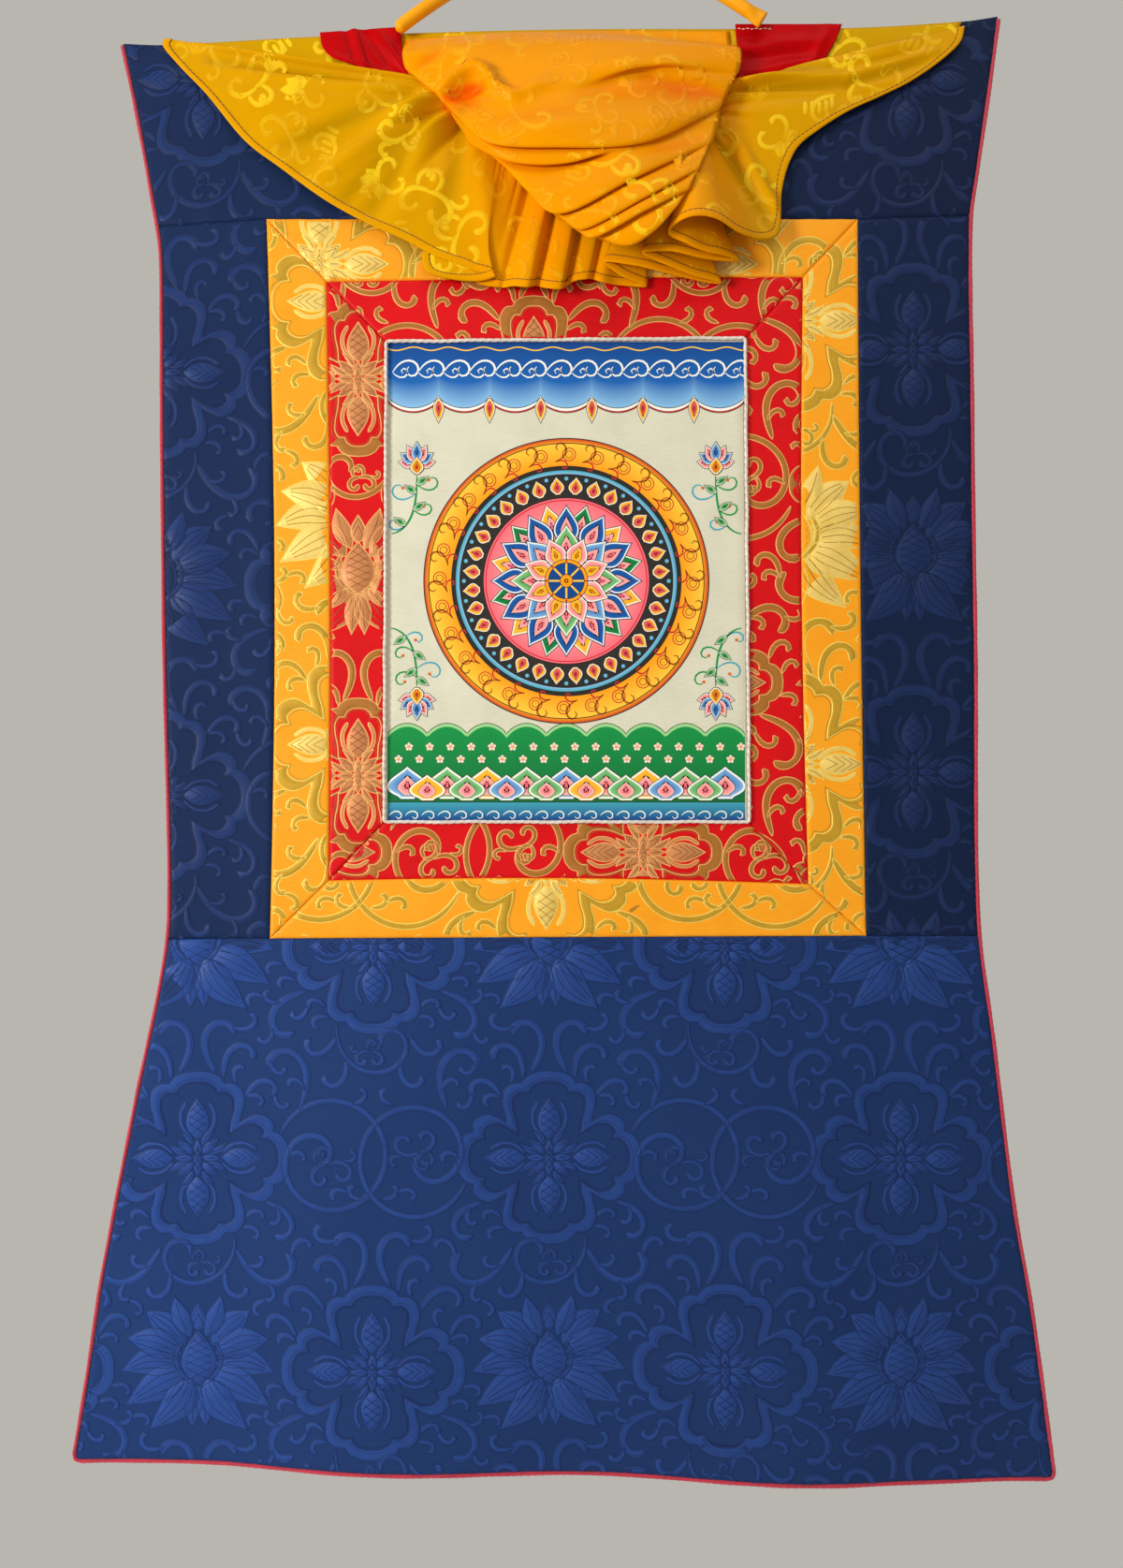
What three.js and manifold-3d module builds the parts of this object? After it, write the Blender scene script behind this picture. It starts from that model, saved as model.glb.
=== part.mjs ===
// Thangka scroll painting: a painted canvas in two mitred brocade frames, set in
// four blue brocade panels with a corded edge, under a raised silk veil.
// Millimetres. X to the right, Y into the wall, Z up.
// The origin is the middle of the top edge, and the front faces -Y.

import * as THREE from 'three';
import { mergeVertices } from 'three/addons/utils/BufferGeometryUtils.js';
import Module from 'manifold-3d';

const wasm = await Module();
wasm.setup();

// ---- driving dimensions ---------------------------------------------------

const PANEL_THICKNESS = 1.6; // brocade on its backing
const CANVAS_THICKNESS = 1.2;
const SILK_THICKNESS = 1.2;
const SEAM_GAP = 0.5; // between neighbouring pieces
const PIPING_RADIUS = 1.4;
const EDGING_RADIUS = 1.2;
const STRAP_RADIUS = 4.75;
const PIPING_CORNER = 6; // bend at the two bottom corners
const EDGING_CORNER = 2;
const CORNER_TUCK = 2.5; // how far a panel's bottom corners are rounded in
const EDGE_ALLOWANCE = 2 * PIPING_RADIUS + 0.5; // outline to panel edge
const TOP_ROWS = 5; // rows of facets down the top panel
const SIDE_ROWS = 14; // down the side panels
const LOW_ROWS = 14; // down the bottom panel
const ACROSS = 20; // across the bottom panel
const PANEL_FRONT = PANEL_THICKNESS / 2;

const COLOURS = {
  blueBrocade: 0x22356f,
  yellowBrocade: 0xf0a62c,
  redBrocade: 0xc4141c,
  canvas: 0xddd9c0,
  edging: 0xd8cfc0,
  piping: 0xc2203f,
  veil: 0xf6b30a,
  ribbon: 0xb80a14,
  strap: 0xf5a800,
};

// ---- outlines, as short tables with named columns --------------------------

const columns = (names, rows) => {
  const keys = names.split(' ');
  return rows.map((row) => Object.fromEntries(keys.map((key, i) => [key, row[i]])));
};

// Outer outline of the hanging, piping included: x at each height.
const LEFT_EDGE = columns('z x', [
  [-11, -319.5], [-61, -309], [-127, -297], [-165, -291.5], [-317, -289.5], [-454, -288],
  [-640, -284.5], [-692, -291], [-772, -308], [-895, -332], [-988, -346.5], [-1037, -354.5],
]);
const RIGHT_EDGE = columns('z x', [
  [9, 318], [-44, 311], [-106, 302], [-140, 297.5], [-315, 298], [-454, 300],
  [-643, 302], [-731, 313], [-847, 328], [-946, 345], [-1052, 359.5],
]);
const TOP_EDGE = columns('x z', [
  [-319.5, -11], [-286, -12], [-173, -6], [0, -1], [203, 0], [291, 5], [318, 9],
]);
const BOTTOM_EDGE = columns('x z', [
  [-354.5, -1037], [-259, -1040.5], [-152, -1044.5], [0, -1049.5], [214, -1053], [359.5, -1052],
]);

// Corners of the sewn frames, each as [x, z].
const YELLOW_OUTER = { tl: [-213.5, -138], tr: [214.5, -138], br: [220.5, -656.5], bl: [-211, -658.5] };
const RED_OUTER = { tl: [-170, -183.5], tr: [174.5, -180], br: [178.5, -619], bl: [-168.5, -616.5] };
const RED_INNER = { tl: [-126.5, -227.5], tr: [132.5, -225], br: [135.5, -574], bl: [-128, -574] };
// How far each straight seam bows inwards at its middle.
const YELLOW_BOW = { left: 4.5, right: 1, top: 0, bottom: 0.8 };
const RED_BOW = { left: 2, right: 3, top: -1, bottom: 3 };
const CANVAS_BOW = { left: -0.5, right: 0, top: -0.5, bottom: 0.5 };

// ---- curves ----------------------------------------------------------------

// Smooth curve through table rows: value of one column at a given other column.
function smoothColumn(table, along, value) {
  const rows = [...table].sort((a, b) => a[along] - b[along]);
  const slope = (i, j) => (rows[j][value] - rows[i][value]) / (rows[j][along] - rows[i][along]);
  const last = rows.length - 1;
  const tangent = (i) => slope(Math.max(i - 1, 0), Math.min(i + 1, last));
  return (at) => {
    const found = rows.findIndex((row) => row[along] >= at);
    const k = Math.min(Math.max(found === -1 ? last : found, 1), last);
    const step = rows[k][along] - rows[k - 1][along];
    const t = Math.min(Math.max((at - rows[k - 1][along]) / step, 0), 1);
    const startWeight = (1 + 2 * t) * (1 - t) ** 2;
    const endWeight = t * t * (3 - 2 * t);
    return startWeight * rows[k - 1][value] + endWeight * rows[k][value]
      + t * (1 - t) ** 2 * step * tangent(k - 1) - t * t * (1 - t) * step * tangent(k);
  };
}

const leftX = smoothColumn(LEFT_EDGE, 'z', 'x');
const rightX = smoothColumn(RIGHT_EDGE, 'z', 'x');
const topZ = smoothColumn(TOP_EDGE, 'x', 'z');
const bottomZ = smoothColumn(BOTTOM_EDGE, 'x', 'z');

const mix = (a, b, t) => a + (b - a) * t;
const mixPoint = (p, q, t) => p.map((value, i) => mix(value, q[i], t));
const smoothStep = (low, high, value) => THREE.MathUtils.smoothstep(value, low, high);

// Straight seam from p to q that bows sideways by a half sine.
function seam(p, q, bow = 0) {
  const [dx, dz] = [q[0] - p[0], q[1] - p[1]];
  const length = Math.hypot(dx, dz);
  return (t) => {
    const push = bow * Math.sin(Math.PI * t);
    return [mix(p[0], q[0], t) + (push * -dz) / length, mix(p[1], q[1], t) + (push * dx) / length];
  };
}

// Several straight seams joined end to end, each given an equal share of t.
const seamThrough = (points) => (t) => {
  const place = Math.min(t, 1 - 1e-9) * (points.length - 1);
  const k = Math.floor(place);
  return mixPoint(points[k], points[k + 1], place - k);
};

// ---- how the hanging stands away from the wall -------------------------------

// Offset in Y of the mounting's middle surface: flat over the frames and the top,
// and rippling a little more towards the hem and the free side edges.
const RIPPLE = { length: 310, valley: 20, depth: 5.5 };
const BUCKLE = { z: -907, width: 26, depth: 1.8 };
const EDGE_CURL = 3;
function sway(x, z) {
  const lower = smoothStep(670, 1060, -z);
  const side = smoothStep(228, 300, Math.abs(x)) * smoothStep(150, 260, -z);
  const ripple = RIPPLE.depth * lower * Math.cos((2 * Math.PI * (x - RIPPLE.valley)) / RIPPLE.length);
  const buckle = BUCKLE.depth * lower * Math.exp(-(((z - BUCKLE.z) / BUCKLE.width) ** 2));
  return ripple - buckle - EDGE_CURL * side;
}

// ---- solids -----------------------------------------------------------------

function solidGeometry(positions, faces) {
  const geometry = new THREE.BufferGeometry();
  geometry.setAttribute('position', new THREE.Float32BufferAttribute(positions.flat(), 3));
  geometry.setIndex(faces.flat());
  return geometry;
}

function volume(positions, faces) {
  let sum = 0;
  for (const [a, b, c] of faces) {
    const [p, q, r] = [a, b, c].map((i) => new THREE.Vector3(...positions[i]));
    sum += p.dot(q.cross(r));
  }
  return sum / 6;
}

// Closed sheet between two grids of points, grid[row][column] = [x, y, z].
function sheetBetween(front, back) {
  const rows = front.length;
  const cols = front[0].length;
  const at = (side, i, j) => side * rows * cols + i * cols + j;
  const positions = [...front.flat(), ...back.flat()];
  let faces = [];
  const quad = (a, b, c, d) => faces.push([a, b, c], [a, c, d]);
  for (let i = 0; i < rows - 1; i++) {
    for (let j = 0; j < cols - 1; j++) {
      quad(at(0, i, j), at(0, i + 1, j), at(0, i + 1, j + 1), at(0, i, j + 1));
      quad(at(1, i, j), at(1, i, j + 1), at(1, i + 1, j + 1), at(1, i + 1, j));
    }
  }
  for (let j = 0; j < cols - 1; j++) {
    quad(at(0, 0, j), at(0, 0, j + 1), at(1, 0, j + 1), at(1, 0, j));
    quad(at(0, rows - 1, j + 1), at(0, rows - 1, j), at(1, rows - 1, j), at(1, rows - 1, j + 1));
  }
  for (let i = 0; i < rows - 1; i++) {
    quad(at(0, i + 1, 0), at(0, i, 0), at(1, i, 0), at(1, i + 1, 0));
    quad(at(0, i, cols - 1), at(0, i + 1, cols - 1), at(1, i + 1, cols - 1), at(1, i, cols - 1));
  }
  if (volume(positions, faces) < 0) faces = faces.map(([a, b, c]) => [a, c, b]);
  return solidGeometry(positions, faces);
}

// Folded sheet of even thickness about a grid of middle points.
function foldedSheet(grid, thickness) {
  const point = (i, j) => new THREE.Vector3(...grid[i][j]);
  const offset = (side) => grid.map((line, i) => line.map((_, j) => {
    const up = Math.max(i - 1, 0);
    const down = Math.min(i + 1, grid.length - 1);
    const left = Math.max(j - 1, 0);
    const right = Math.min(j + 1, line.length - 1);
    const across = point(i, right).sub(point(i, left));
    const along = point(down, j).sub(point(up, j));
    const normal = across.cross(along).normalize().multiplyScalar((side * thickness) / 2);
    return point(i, j).add(normal).toArray();
  }));
  return sheetBetween(offset(-1), offset(1));
}

// Even steps from 0 to 1 with an extra line just inside the ends that are asked for.
function steps(count, nearStart = 0, nearEnd = 0) {
  const list = [0];
  if (nearStart) list.push(nearStart);
  for (let i = 1; i < count; i++) list.push(i / count);
  if (nearEnd) list.push(1 - nearEnd);
  return [...list, 1];
}

// Patch filled in smoothly between four boundary curves.
function patch({ top, bottom, left, right }) {
  const corner = { tl: top(0), tr: top(1), bl: bottom(0), br: bottom(1) };
  return (u, v) => [0, 1].map((k) =>
    mix(top(u)[k], bottom(u)[k], v) + mix(left(v)[k], right(v)[k], u)
    - mix(mix(corner.tl[k], corner.tr[k], u), mix(corner.bl[k], corner.br[k], u), v));
}

// Hanging panel of a flat patch, drawn in by half a seam gap on every seam.
function hangingPanel(surface, { across, down, thickness = PANEL_THICKNESS, roundBottom = false }) {
  const span = (p, q) => Math.hypot(q[0] - p[0], q[1] - p[1]);
  const inU = SEAM_GAP / 2 / span(surface(0, 0.5), surface(1, 0.5));
  const inV = SEAM_GAP / 2 / span(surface(0.5, 0), surface(0.5, 1));
  const grid = down.map((v, i) => across.map((u, j) => {
    let [x, z] = surface(mix(inU, 1 - inU, u), mix(inV, 1 - inV, v));
    const side = j === 0 ? 1 : j === across.length - 1 ? -1 : 0;
    if (roundBottom && i === down.length - 1 && side !== 0) {
      x += side * CORNER_TUCK;
      z += CORNER_TUCK;
    }
    return [x, sway(x, z), z];
  }));
  const face = (shift) => grid.map((line) => line.map(([x, y, z]) => [x, y + shift, z]));
  return sheetBetween(face(-thickness / 2), face(thickness / 2));
}

const material = (colour, roughness) =>
  new THREE.MeshStandardMaterial({ color: colour, roughness, metalness: 0 });
const FINISHES = {
  blueBrocade: material(COLOURS.blueBrocade, 0.7),
  yellowBrocade: material(COLOURS.yellowBrocade, 0.55),
  redBrocade: material(COLOURS.redBrocade, 0.55),
  canvas: material(COLOURS.canvas, 0.8),
  edging: material(COLOURS.edging, 0.85),
  piping: material(COLOURS.piping, 0.7),
  veil: material(COLOURS.veil, 0.35),
  ribbon: material(COLOURS.ribbon, 0.4),
  strap: material(COLOURS.strap, 0.5),
};

const hanging = new THREE.Group();
function addPiece(name, geometry, finish) {
  const mesh = new THREE.Mesh(geometry, FINISHES[finish]);
  mesh.name = name;
  hanging.add(mesh);
}

// ---- blue panels ---------------------------------------------------------------

const TOP_SEAM_LEFT_Z = -143.5;
const TOP_SEAM_RIGHT_Z = -135.5;
const LOW_SEAM_LEFT_Z = -658.5;
const LOW_SEAM_RIGHT_Z = -656;

const insetLeft = (z) => [leftX(z) + EDGE_ALLOWANCE, z];
const insetRight = (z) => [rightX(z) - EDGE_ALLOWANCE, z];
const leftSide = (from, to) => (t) => insetLeft(mix(from, to, t));
const rightSide = (from, to) => (t) => insetRight(mix(from, to, t));

const topSeam = seamThrough([
  insetLeft(TOP_SEAM_LEFT_Z), YELLOW_OUTER.tl, [0, YELLOW_OUTER.tl[1]], YELLOW_OUTER.tr,
  insetRight(TOP_SEAM_RIGHT_Z),
]);
const lowSeam = seamThrough([
  insetLeft(LOW_SEAM_LEFT_Z), YELLOW_OUTER.bl, [0, -657.5], YELLOW_OUTER.br, insetRight(LOW_SEAM_RIGHT_Z),
]);

function addPanelTop() {
  const [leftTop, rightTop] = [insetLeft(-12), insetRight(8)];
  const surface = patch({
    top: (t) => {
      const x = mix(leftTop[0], rightTop[0], t);
      return [x, topZ(x)];
    },
    bottom: topSeam,
    left: (t) => insetLeft(mix(topZ(leftTop[0]), TOP_SEAM_LEFT_Z, t)),
    right: (t) => insetRight(mix(topZ(rightTop[0]), TOP_SEAM_RIGHT_Z, t)),
  });
  const plan = { across: steps(16), down: steps(TOP_ROWS) };
  addPiece('panel_top', hangingPanel(surface, plan), 'blueBrocade');
}

function addPanelBottom() {
  const cornerLeft = insetLeft(-1037 + EDGE_ALLOWANCE);
  const cornerRight = insetRight(-1052 + EDGE_ALLOWANCE);
  const surface = patch({
    top: lowSeam,
    bottom: (t) => {
      const x = mix(cornerLeft[0], cornerRight[0], t);
      return [x, bottomZ(x) + EDGE_ALLOWANCE];
    },
    left: leftSide(LOW_SEAM_LEFT_Z, bottomZ(cornerLeft[0]) + EDGE_ALLOWANCE),
    right: rightSide(LOW_SEAM_RIGHT_Z, bottomZ(cornerRight[0]) + EDGE_ALLOWANCE),
  });
  const plan = { across: steps(ACROSS, 0.012, 0.012), down: steps(LOW_ROWS, 0, 0.02), roundBottom: true };
  addPiece('panel_bottom', hangingPanel(surface, plan), 'blueBrocade');
}

function addSidePanels() {
  const { tl, tr, br, bl } = YELLOW_OUTER;
  const plan = { across: steps(3), down: steps(SIDE_ROWS) };
  const left = patch({
    top: seam(insetLeft(TOP_SEAM_LEFT_Z), tl),
    bottom: seam(insetLeft(LOW_SEAM_LEFT_Z), bl),
    left: leftSide(TOP_SEAM_LEFT_Z, LOW_SEAM_LEFT_Z),
    right: seam(tl, bl, YELLOW_BOW.left),
  });
  const right = patch({
    top: seam(tr, insetRight(TOP_SEAM_RIGHT_Z)),
    bottom: seam(br, insetRight(LOW_SEAM_RIGHT_Z)),
    left: seam(tr, br, -YELLOW_BOW.right),
    right: rightSide(TOP_SEAM_RIGHT_Z, LOW_SEAM_RIGHT_Z),
  });
  addPiece('panel_left', hangingPanel(left, plan), 'blueBrocade');
  addPiece('panel_right', hangingPanel(right, plan), 'blueBrocade');
}

// ---- mitred frames and canvas ----------------------------------------------------

// Four strips between an outer and an inner ring of corners, mitred at the corners.
function addFrame(prefix, outer, outerBow, inner, innerBow, finish, count) {
  const sides = {
    top: ['tl', 'tr', -1], right: ['tr', 'br', -1], bottom: ['bl', 'br', 1], left: ['tl', 'bl', 1],
  };
  for (const [side, [start, end, inward]] of Object.entries(sides)) {
    const upright = side === 'left' || side === 'right';
    const outerSeam = seam(outer[start], outer[end], inward * outerBow[side]);
    const innerSeam = seam(inner[start], inner[end], inward * innerBow[side]);
    const startMitre = seam(outer[start], inner[start]);
    const endMitre = seam(outer[end], inner[end]);
    const strip = upright
      ? patch({ top: startMitre, bottom: endMitre, left: outerSeam, right: innerSeam })
      : patch({ top: outerSeam, bottom: innerSeam, left: startMitre, right: endMitre });
    const plan = upright
      ? { across: steps(1), down: steps(count) }
      : { across: steps(count), down: steps(1) };
    addPiece(`${prefix}_${side}`, hangingPanel(strip, plan), finish);
  }
}

function addCanvas() {
  const { tl, tr, br, bl } = RED_INNER;
  const surface = patch({
    top: seam(tl, tr, -CANVAS_BOW.top),
    bottom: seam(bl, br, CANVAS_BOW.bottom),
    left: seam(tl, bl, CANVAS_BOW.left),
    right: seam(tr, br, -CANVAS_BOW.right),
  });
  const plan = { across: steps(8), down: steps(10), thickness: CANVAS_THICKNESS };
  addPiece('canvas', hangingPanel(surface, plan), 'canvas');
}

// Round cord swept through points in the plane of the hanging, open or closed on itself.
function cordThrough(points, radius, sides, closed) {
  const last = points.length - 1;
  const rings = points.map(([x, y, z], i) => {
    const previous = points[closed ? (i + last) % points.length : Math.max(i - 1, 0)];
    const next = points[closed ? (i + 1) % points.length : Math.min(i + 1, last)];
    const tangent = new THREE.Vector2(next[0] - previous[0], next[2] - previous[2]).normalize();
    return Array.from({ length: sides }, (_, k) => {
      const angle = (2 * Math.PI * k) / sides;
      const across = radius * Math.cos(angle);
      return [x - across * tangent.y, y + radius * Math.sin(angle), z + across * tangent.x];
    });
  });
  const positions = rings.flat();
  let faces = [];
  for (let i = 0; i < (closed ? rings.length : last); i++) {
    for (let k = 0; k < sides; k++) {
      const [a, b] = [i * sides + k, i * sides + ((k + 1) % sides)];
      const [c, d] = [a, b].map((v) => (v + sides) % positions.length);
      faces.push([a, b, d], [a, d, c]);
    }
  }
  if (!closed) {
    for (let k = 1; k < sides - 1; k++) {
      faces.push([0, k + 1, k], [last * sides, last * sides + k, last * sides + k + 1]);
    }
  }
  if (volume(positions, faces) < 0) faces = faces.map(([a, b, c]) => [a, c, b]);
  return solidGeometry(positions, faces);
}

// Twisted cord laid on the canvas seam.
function addEdging() {
  const { tl, tr, br, bl } = RED_INNER;
  const frontY = -(PANEL_FRONT + SEAM_GAP + EDGING_RADIUS);
  const outline = new THREE.Shape();
  const corners = [tl, tr, br, bl].map(([x, z]) => new THREE.Vector2(x, z));
  corners.forEach((corner, i) => {
    const before = corners[(i + 3) % 4].clone().sub(corner).setLength(EDGING_CORNER).add(corner);
    const after = corners[(i + 1) % 4].clone().sub(corner).setLength(EDGING_CORNER).add(corner);
    if (i === 0) outline.moveTo(before.x, before.y);
    else outline.lineTo(before.x, before.y);
    outline.quadraticCurveTo(corner.x, corner.y, after.x, after.y);
  });
  const path = outline.getPoints(3).map((p) => [p.x, frontY, p.y]);
  addPiece('canvas_edging', cordThrough(path, EDGING_RADIUS, 6, true), 'edging');
}

// ---- piping and strap ---------------------------------------------------------------

function roundSection(radius, sides) {
  const shape = new THREE.Shape();
  for (let k = 0; k < sides; k++) {
    const angle = (2 * Math.PI * k) / sides;
    const [x, y] = [radius * Math.cos(angle), radius * Math.sin(angle)];
    if (k === 0) shape.moveTo(x, y);
    else shape.lineTo(x, y);
  }
  shape.closePath();
  return shape;
}

function cord(points, radius, sides, stepCount) {
  const route = points.map((p) => new THREE.Vector3(...p));
  const path = new THREE.CatmullRomCurve3(route, false, 'centripetal');
  const options = { extrudePath: path, steps: stepCount, bevelEnabled: false };
  const geometry = new THREE.ExtrudeGeometry(roundSection(radius, sides), options);
  geometry.deleteAttribute('normal');
  geometry.deleteAttribute('uv');
  return mergeVertices(geometry, 1e-4);
}

// One cord sewn down the left edge, along the hem and up the right edge.
function addPiping() {
  const onWall = (x, z) => [x, sway(x, z), z];
  const down = (topEnd, seamTop, seamLow, bottomEnd) => [
    ...steps(TOP_ROWS).map((t) => mix(topEnd, seamTop, t)),
    ...steps(SIDE_ROWS).slice(1).map((t) => mix(seamTop, seamLow, t)),
    ...steps(LOW_ROWS).slice(1).map((t) => mix(seamLow, bottomEnd, t)),
  ];
  const low = { left: [-354.5 + PIPING_RADIUS, -1037 + PIPING_RADIUS],
    right: [359.5 - PIPING_RADIUS, -1052 + PIPING_RADIUS] };
  const bend = 0.29 * PIPING_CORNER; // middle of the bend, in from the corner
  const leftZs = down(-13, TOP_SEAM_LEFT_Z, LOW_SEAM_LEFT_Z, low.left[1] + PIPING_CORNER);
  const rightZs = down(6, TOP_SEAM_RIGHT_Z, LOW_SEAM_RIGHT_Z, low.right[1] + PIPING_CORNER);
  const hemXs = steps(ACROSS).map((t) => mix(low.left[0] + PIPING_CORNER, low.right[0] - PIPING_CORNER, t));
  const points = [
    ...leftZs.map((z) => onWall(leftX(z) + PIPING_RADIUS, z)),
    onWall(low.left[0] + bend, low.left[1] + bend),
    ...hemXs.map((x) => onWall(x, bottomZ(x) + PIPING_RADIUS)),
    onWall(low.right[0] - bend, low.right[1] + bend),
    ...rightZs.reverse().map((z) => onWall(rightX(z) - PIPING_RADIUS, z)),
  ];
  addPiece('piping', cordThrough(points, PIPING_RADIUS, 6, false), 'piping');
}

// Hanging strap: two straight runs and a bend over the nail, route set by hand.
const STRAP_ROUTE = [
  [-118, -9.8, -8], [-107, -9.5, 1], [-92, -8.8, 12], [-76, -8, 23], [-60, -7.2, 34.5],
  [-44, -6.5, 46.5], [-28, -6, 58.5], [-14, -5.6, 69], [-4, -5.4, 75.6], [6, -5.3, 79.6],
  [16, -5.3, 80.4], [26, -5.4, 77.6], [37, -5.6, 71.2], [52, -6, 61], [68, -6.5, 50],
  [84, -7.2, 39], [100, -8, 28], [116, -8.8, 17.5], [131, -9.5, 7.5], [144, -9.8, -1],
];
function addStrap() {
  addPiece('hanging_strap', cord(STRAP_ROUTE, STRAP_RADIUS, 8, 40), 'strap');
}

// ---- red ribbons ---------------------------------------------------------------------

// Each ribbon hangs from the top edge and narrows into the tie: x and z of its two
// sides, and how far it stands in front of the wall.
const RIBBONS = {
  ribbon_left: columns('leftX leftZ rightX rightZ out', [
    [-174, -6, -116, -2, 4], [-172, -16, -115, -12, 4], [-165, -24, -114, -23, 4],
    [-146, -31, -107, -34, 4.1], [-124, -41, -98, -44, 4.3],
  ]),
  ribbon_right: columns('leftX leftZ rightX rightZ out', [
    [125, 0, 202, 0, 4], [126, -10, 198, -10, 4], [127, -20, 192, -21, 4],
    [126, -31, 186, -30, 4], [126, -43, 182, -37, 4.1],
  ]),
};
function addRibbons() {
  const ACROSS = 6;
  for (const [name, rows] of Object.entries(RIBBONS)) {
    const grid = rows.map((row) => Array.from({ length: ACROSS + 1 }, (_, j) => {
      const t = j / ACROSS;
      return [mix(row.leftX, row.rightX, t), -row.out, mix(row.leftZ, row.rightZ, t)];
    }));
    addPiece(name, foldedSheet(grid, SILK_THICKNESS), 'ribbon');
  }
}

// ---- veil ------------------------------------------------------------------------------

// The veil is one silk sheet, raised and gathered at two ties. Its lower edge is given
// fold by fold from the left tip round to the right tip: where each crest or trough
// meets the hem, how far out it stands, and how much it swells half way up. A part with
// `late` above 1 is a turn of the hem alone, which opens only in its last stretch.
const VEIL_FALL = [
  { // left wing, spread like a fan from the left tie
    gatherFrom: [-95, -44], gatherTo: [-45, -72], gatherOut: 7, outShare: 0.35, late: 1,
    hem: columns('x z out swell', [
      [-286, -9, 2, 2], [-288, -13, 2, -1], [-276, -29, 4.2, 2.5], [-256, -50, 4.6, -1], [-227, -85, 5, 5],
      [-202, -104, 5, -2.5], [-169, -128, 6, 7], [-138, -145, 6, -3], [-114, -156, 7, 3],
      [-90, -169, 8, 3], [-66, -178, 9, 2],
    ]),
  },
  { // turned-back corner of the hem
    gatherFrom: [-42, -73], gatherTo: [-18, -76], gatherOut: 7, outShare: 0.35, late: 6,
    hem: columns('x z out swell', [
      [-62, -180, 9, 2], [-47, -184, 10.5, 2], [-62, -187, 8.6, 1], [-97, -179, 7.6, 1], [-99, -165, 7, 1],
      [-84, -172, 5, 1], [-60, -187, 4.8, 0], [-47, -190, 6, 0],
    ]),
  },
  { // pleats of the skirt
    gatherFrom: [-12, -77], gatherTo: [67, -84], gatherOut: 4, outShare: 0.35, late: 1,
    hem: columns('x z out swell', [
      [-42, -190, 5, -1], [-34, -192, 12, 2], [-24, -194, 15, 2], [-18, -189, 6, -1], [-13, -193, 12, 1], [-1, -195, 14, 2],
      [3, -189, 5.5, -1], [9, -187, 9, 0], [18, -186, 10, 1], [22, -184, 5.5, 0], [28, -188, 10, 1],
      [40, -188, 5, 0], [61, -189, 4.2, 0],
    ]),
  },
  { // three long pleats that curl forward, one inside the other
    gatherFrom: [68, -86], gatherTo: [104, -80], gatherOut: 3, outShare: 0.4, late: 1,
    hem: columns('x z out swell', [
      [44, -184, 9, 0], [30, -176, 14, 0], [53, -180, 17.5, 0], [83, -185, 12.5, 0], [107, -188, 8, 0],
      [114, -189, 9.5, 0], [107, -188, 12.5, 0], [95, -187, 16.5, 0], [76, -182, 21.5, 0], [57, -175, 25.5, 0],
      [75, -175, 29, 0], [102, -178, 23.5, 0], [126, -176, 15.5, 0], [115, -175, 22, 0], [101, -175, 28, 0],
      [88, -172, 33, 0], [74, -166, 36, 0], [79, -161, 40, 0], [90, -158, 44, 0], [106, -158, 41, 0],
      [124, -163, 31, 0], [140, -163, 21, 0], [152, -158, 15, 0], [156, -148, 11, 0],
    ]),
  },
  { // right wing, spread from the right tie up to the top edge
    gatherFrom: [105, -77], gatherTo: [117, -44], gatherOut: 5, outShare: 0.3, late: 1,
    hem: columns('x z out swell', [
      [157, -137, 8.5, 0], [158, -122, 6.5, 0], [162, -105, 6, 1], [170, -89, 6, 1], [185, -77, 6.5, 1],
      [207, -63, 6, 0], [230, -52, 5, -0.5], [252, -41, 5, 1.5], [276, -24, 5, 1], [288, -11, 3, 5],
      [291, 0, 2, 2],
    ]),
  },
];
const FALL_STEPS = [0, 0.14, 0.3, 0.5, 0.74, 0.9, 1];

// Pouch of silk raised in front of the ties: the top edge, the heading, the crown, and
// the lip of each festoon, at five stations from the left tie to the right one, and the
// share of its width over which the lip turns under.
const FESTOONS = columns('left low middle high right from to', [
  [[-112, -10, 2.3], [-54, -6, 2.3], [7, -4, 2.3], [68, -4, 2.3], [121, -4, 2.3], 1, 1],
  [[-112, -13, 4], [-54, -8, 5], [7, -7, 5], [68, -10, 5], [122, -15, 4], 1, 1],
  [[-113, -27, 13], [-59, -31, 20], [3, -28, 21], [66, -25, 20], [127, -24, 14], 1, 1],
  [[-111, -37, 13], [-56, -52, 24], [3, -58, 30], [65, -45, 29], [126, -40, 16], 0.6, 1],
  [[-84, -63, 17], [-52, -101, 34], [0, -110, 43], [55, -106, 41], [112, -70, 20], 0, 1],
  [[-64, -94, 17], [-36, -114, 32], [3, -119, 39], [39, -110, 40], [110, -84, 22], 0, 0.7],
  [[-43, -104, 17], [-25, -134, 34], [-3, -156, 44], [49, -133, 46], [106, -96, 26], 0, 1],
  [[-4, -145, 22], [5, -161, 38], [14, -168, 46], [57, -147, 48], [96, -120, 36], 0, 1],
  [[4, -152, 24], [12, -165, 37], [21, -173, 45], [57, -156, 48], [88, -137, 40], 0, 1],
  [[12, -157, 26], [25, -169, 36], [46, -178, 44], [64, -168, 46], [80, -149, 42], 0, 1],
]);
const TUCK = { rise: 5, back: 7 }; // how a lip turns under into the next fold
const BELLY = { at: 0.55, out: 2.5 }; // how a fold swells above its lip
const CREASED_FROM = 3; // rows before this one have no fold between them
const LIP_FADE = 0.12; // share of the width over which a short lip fades out

const catmull = (a, b, c, d, t) => 0.5 * (2 * b + (c - a) * t
  + (2 * a - 5 * b + 4 * c - d) * t * t + (3 * b - a - 3 * c + d) * t ** 3);

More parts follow.
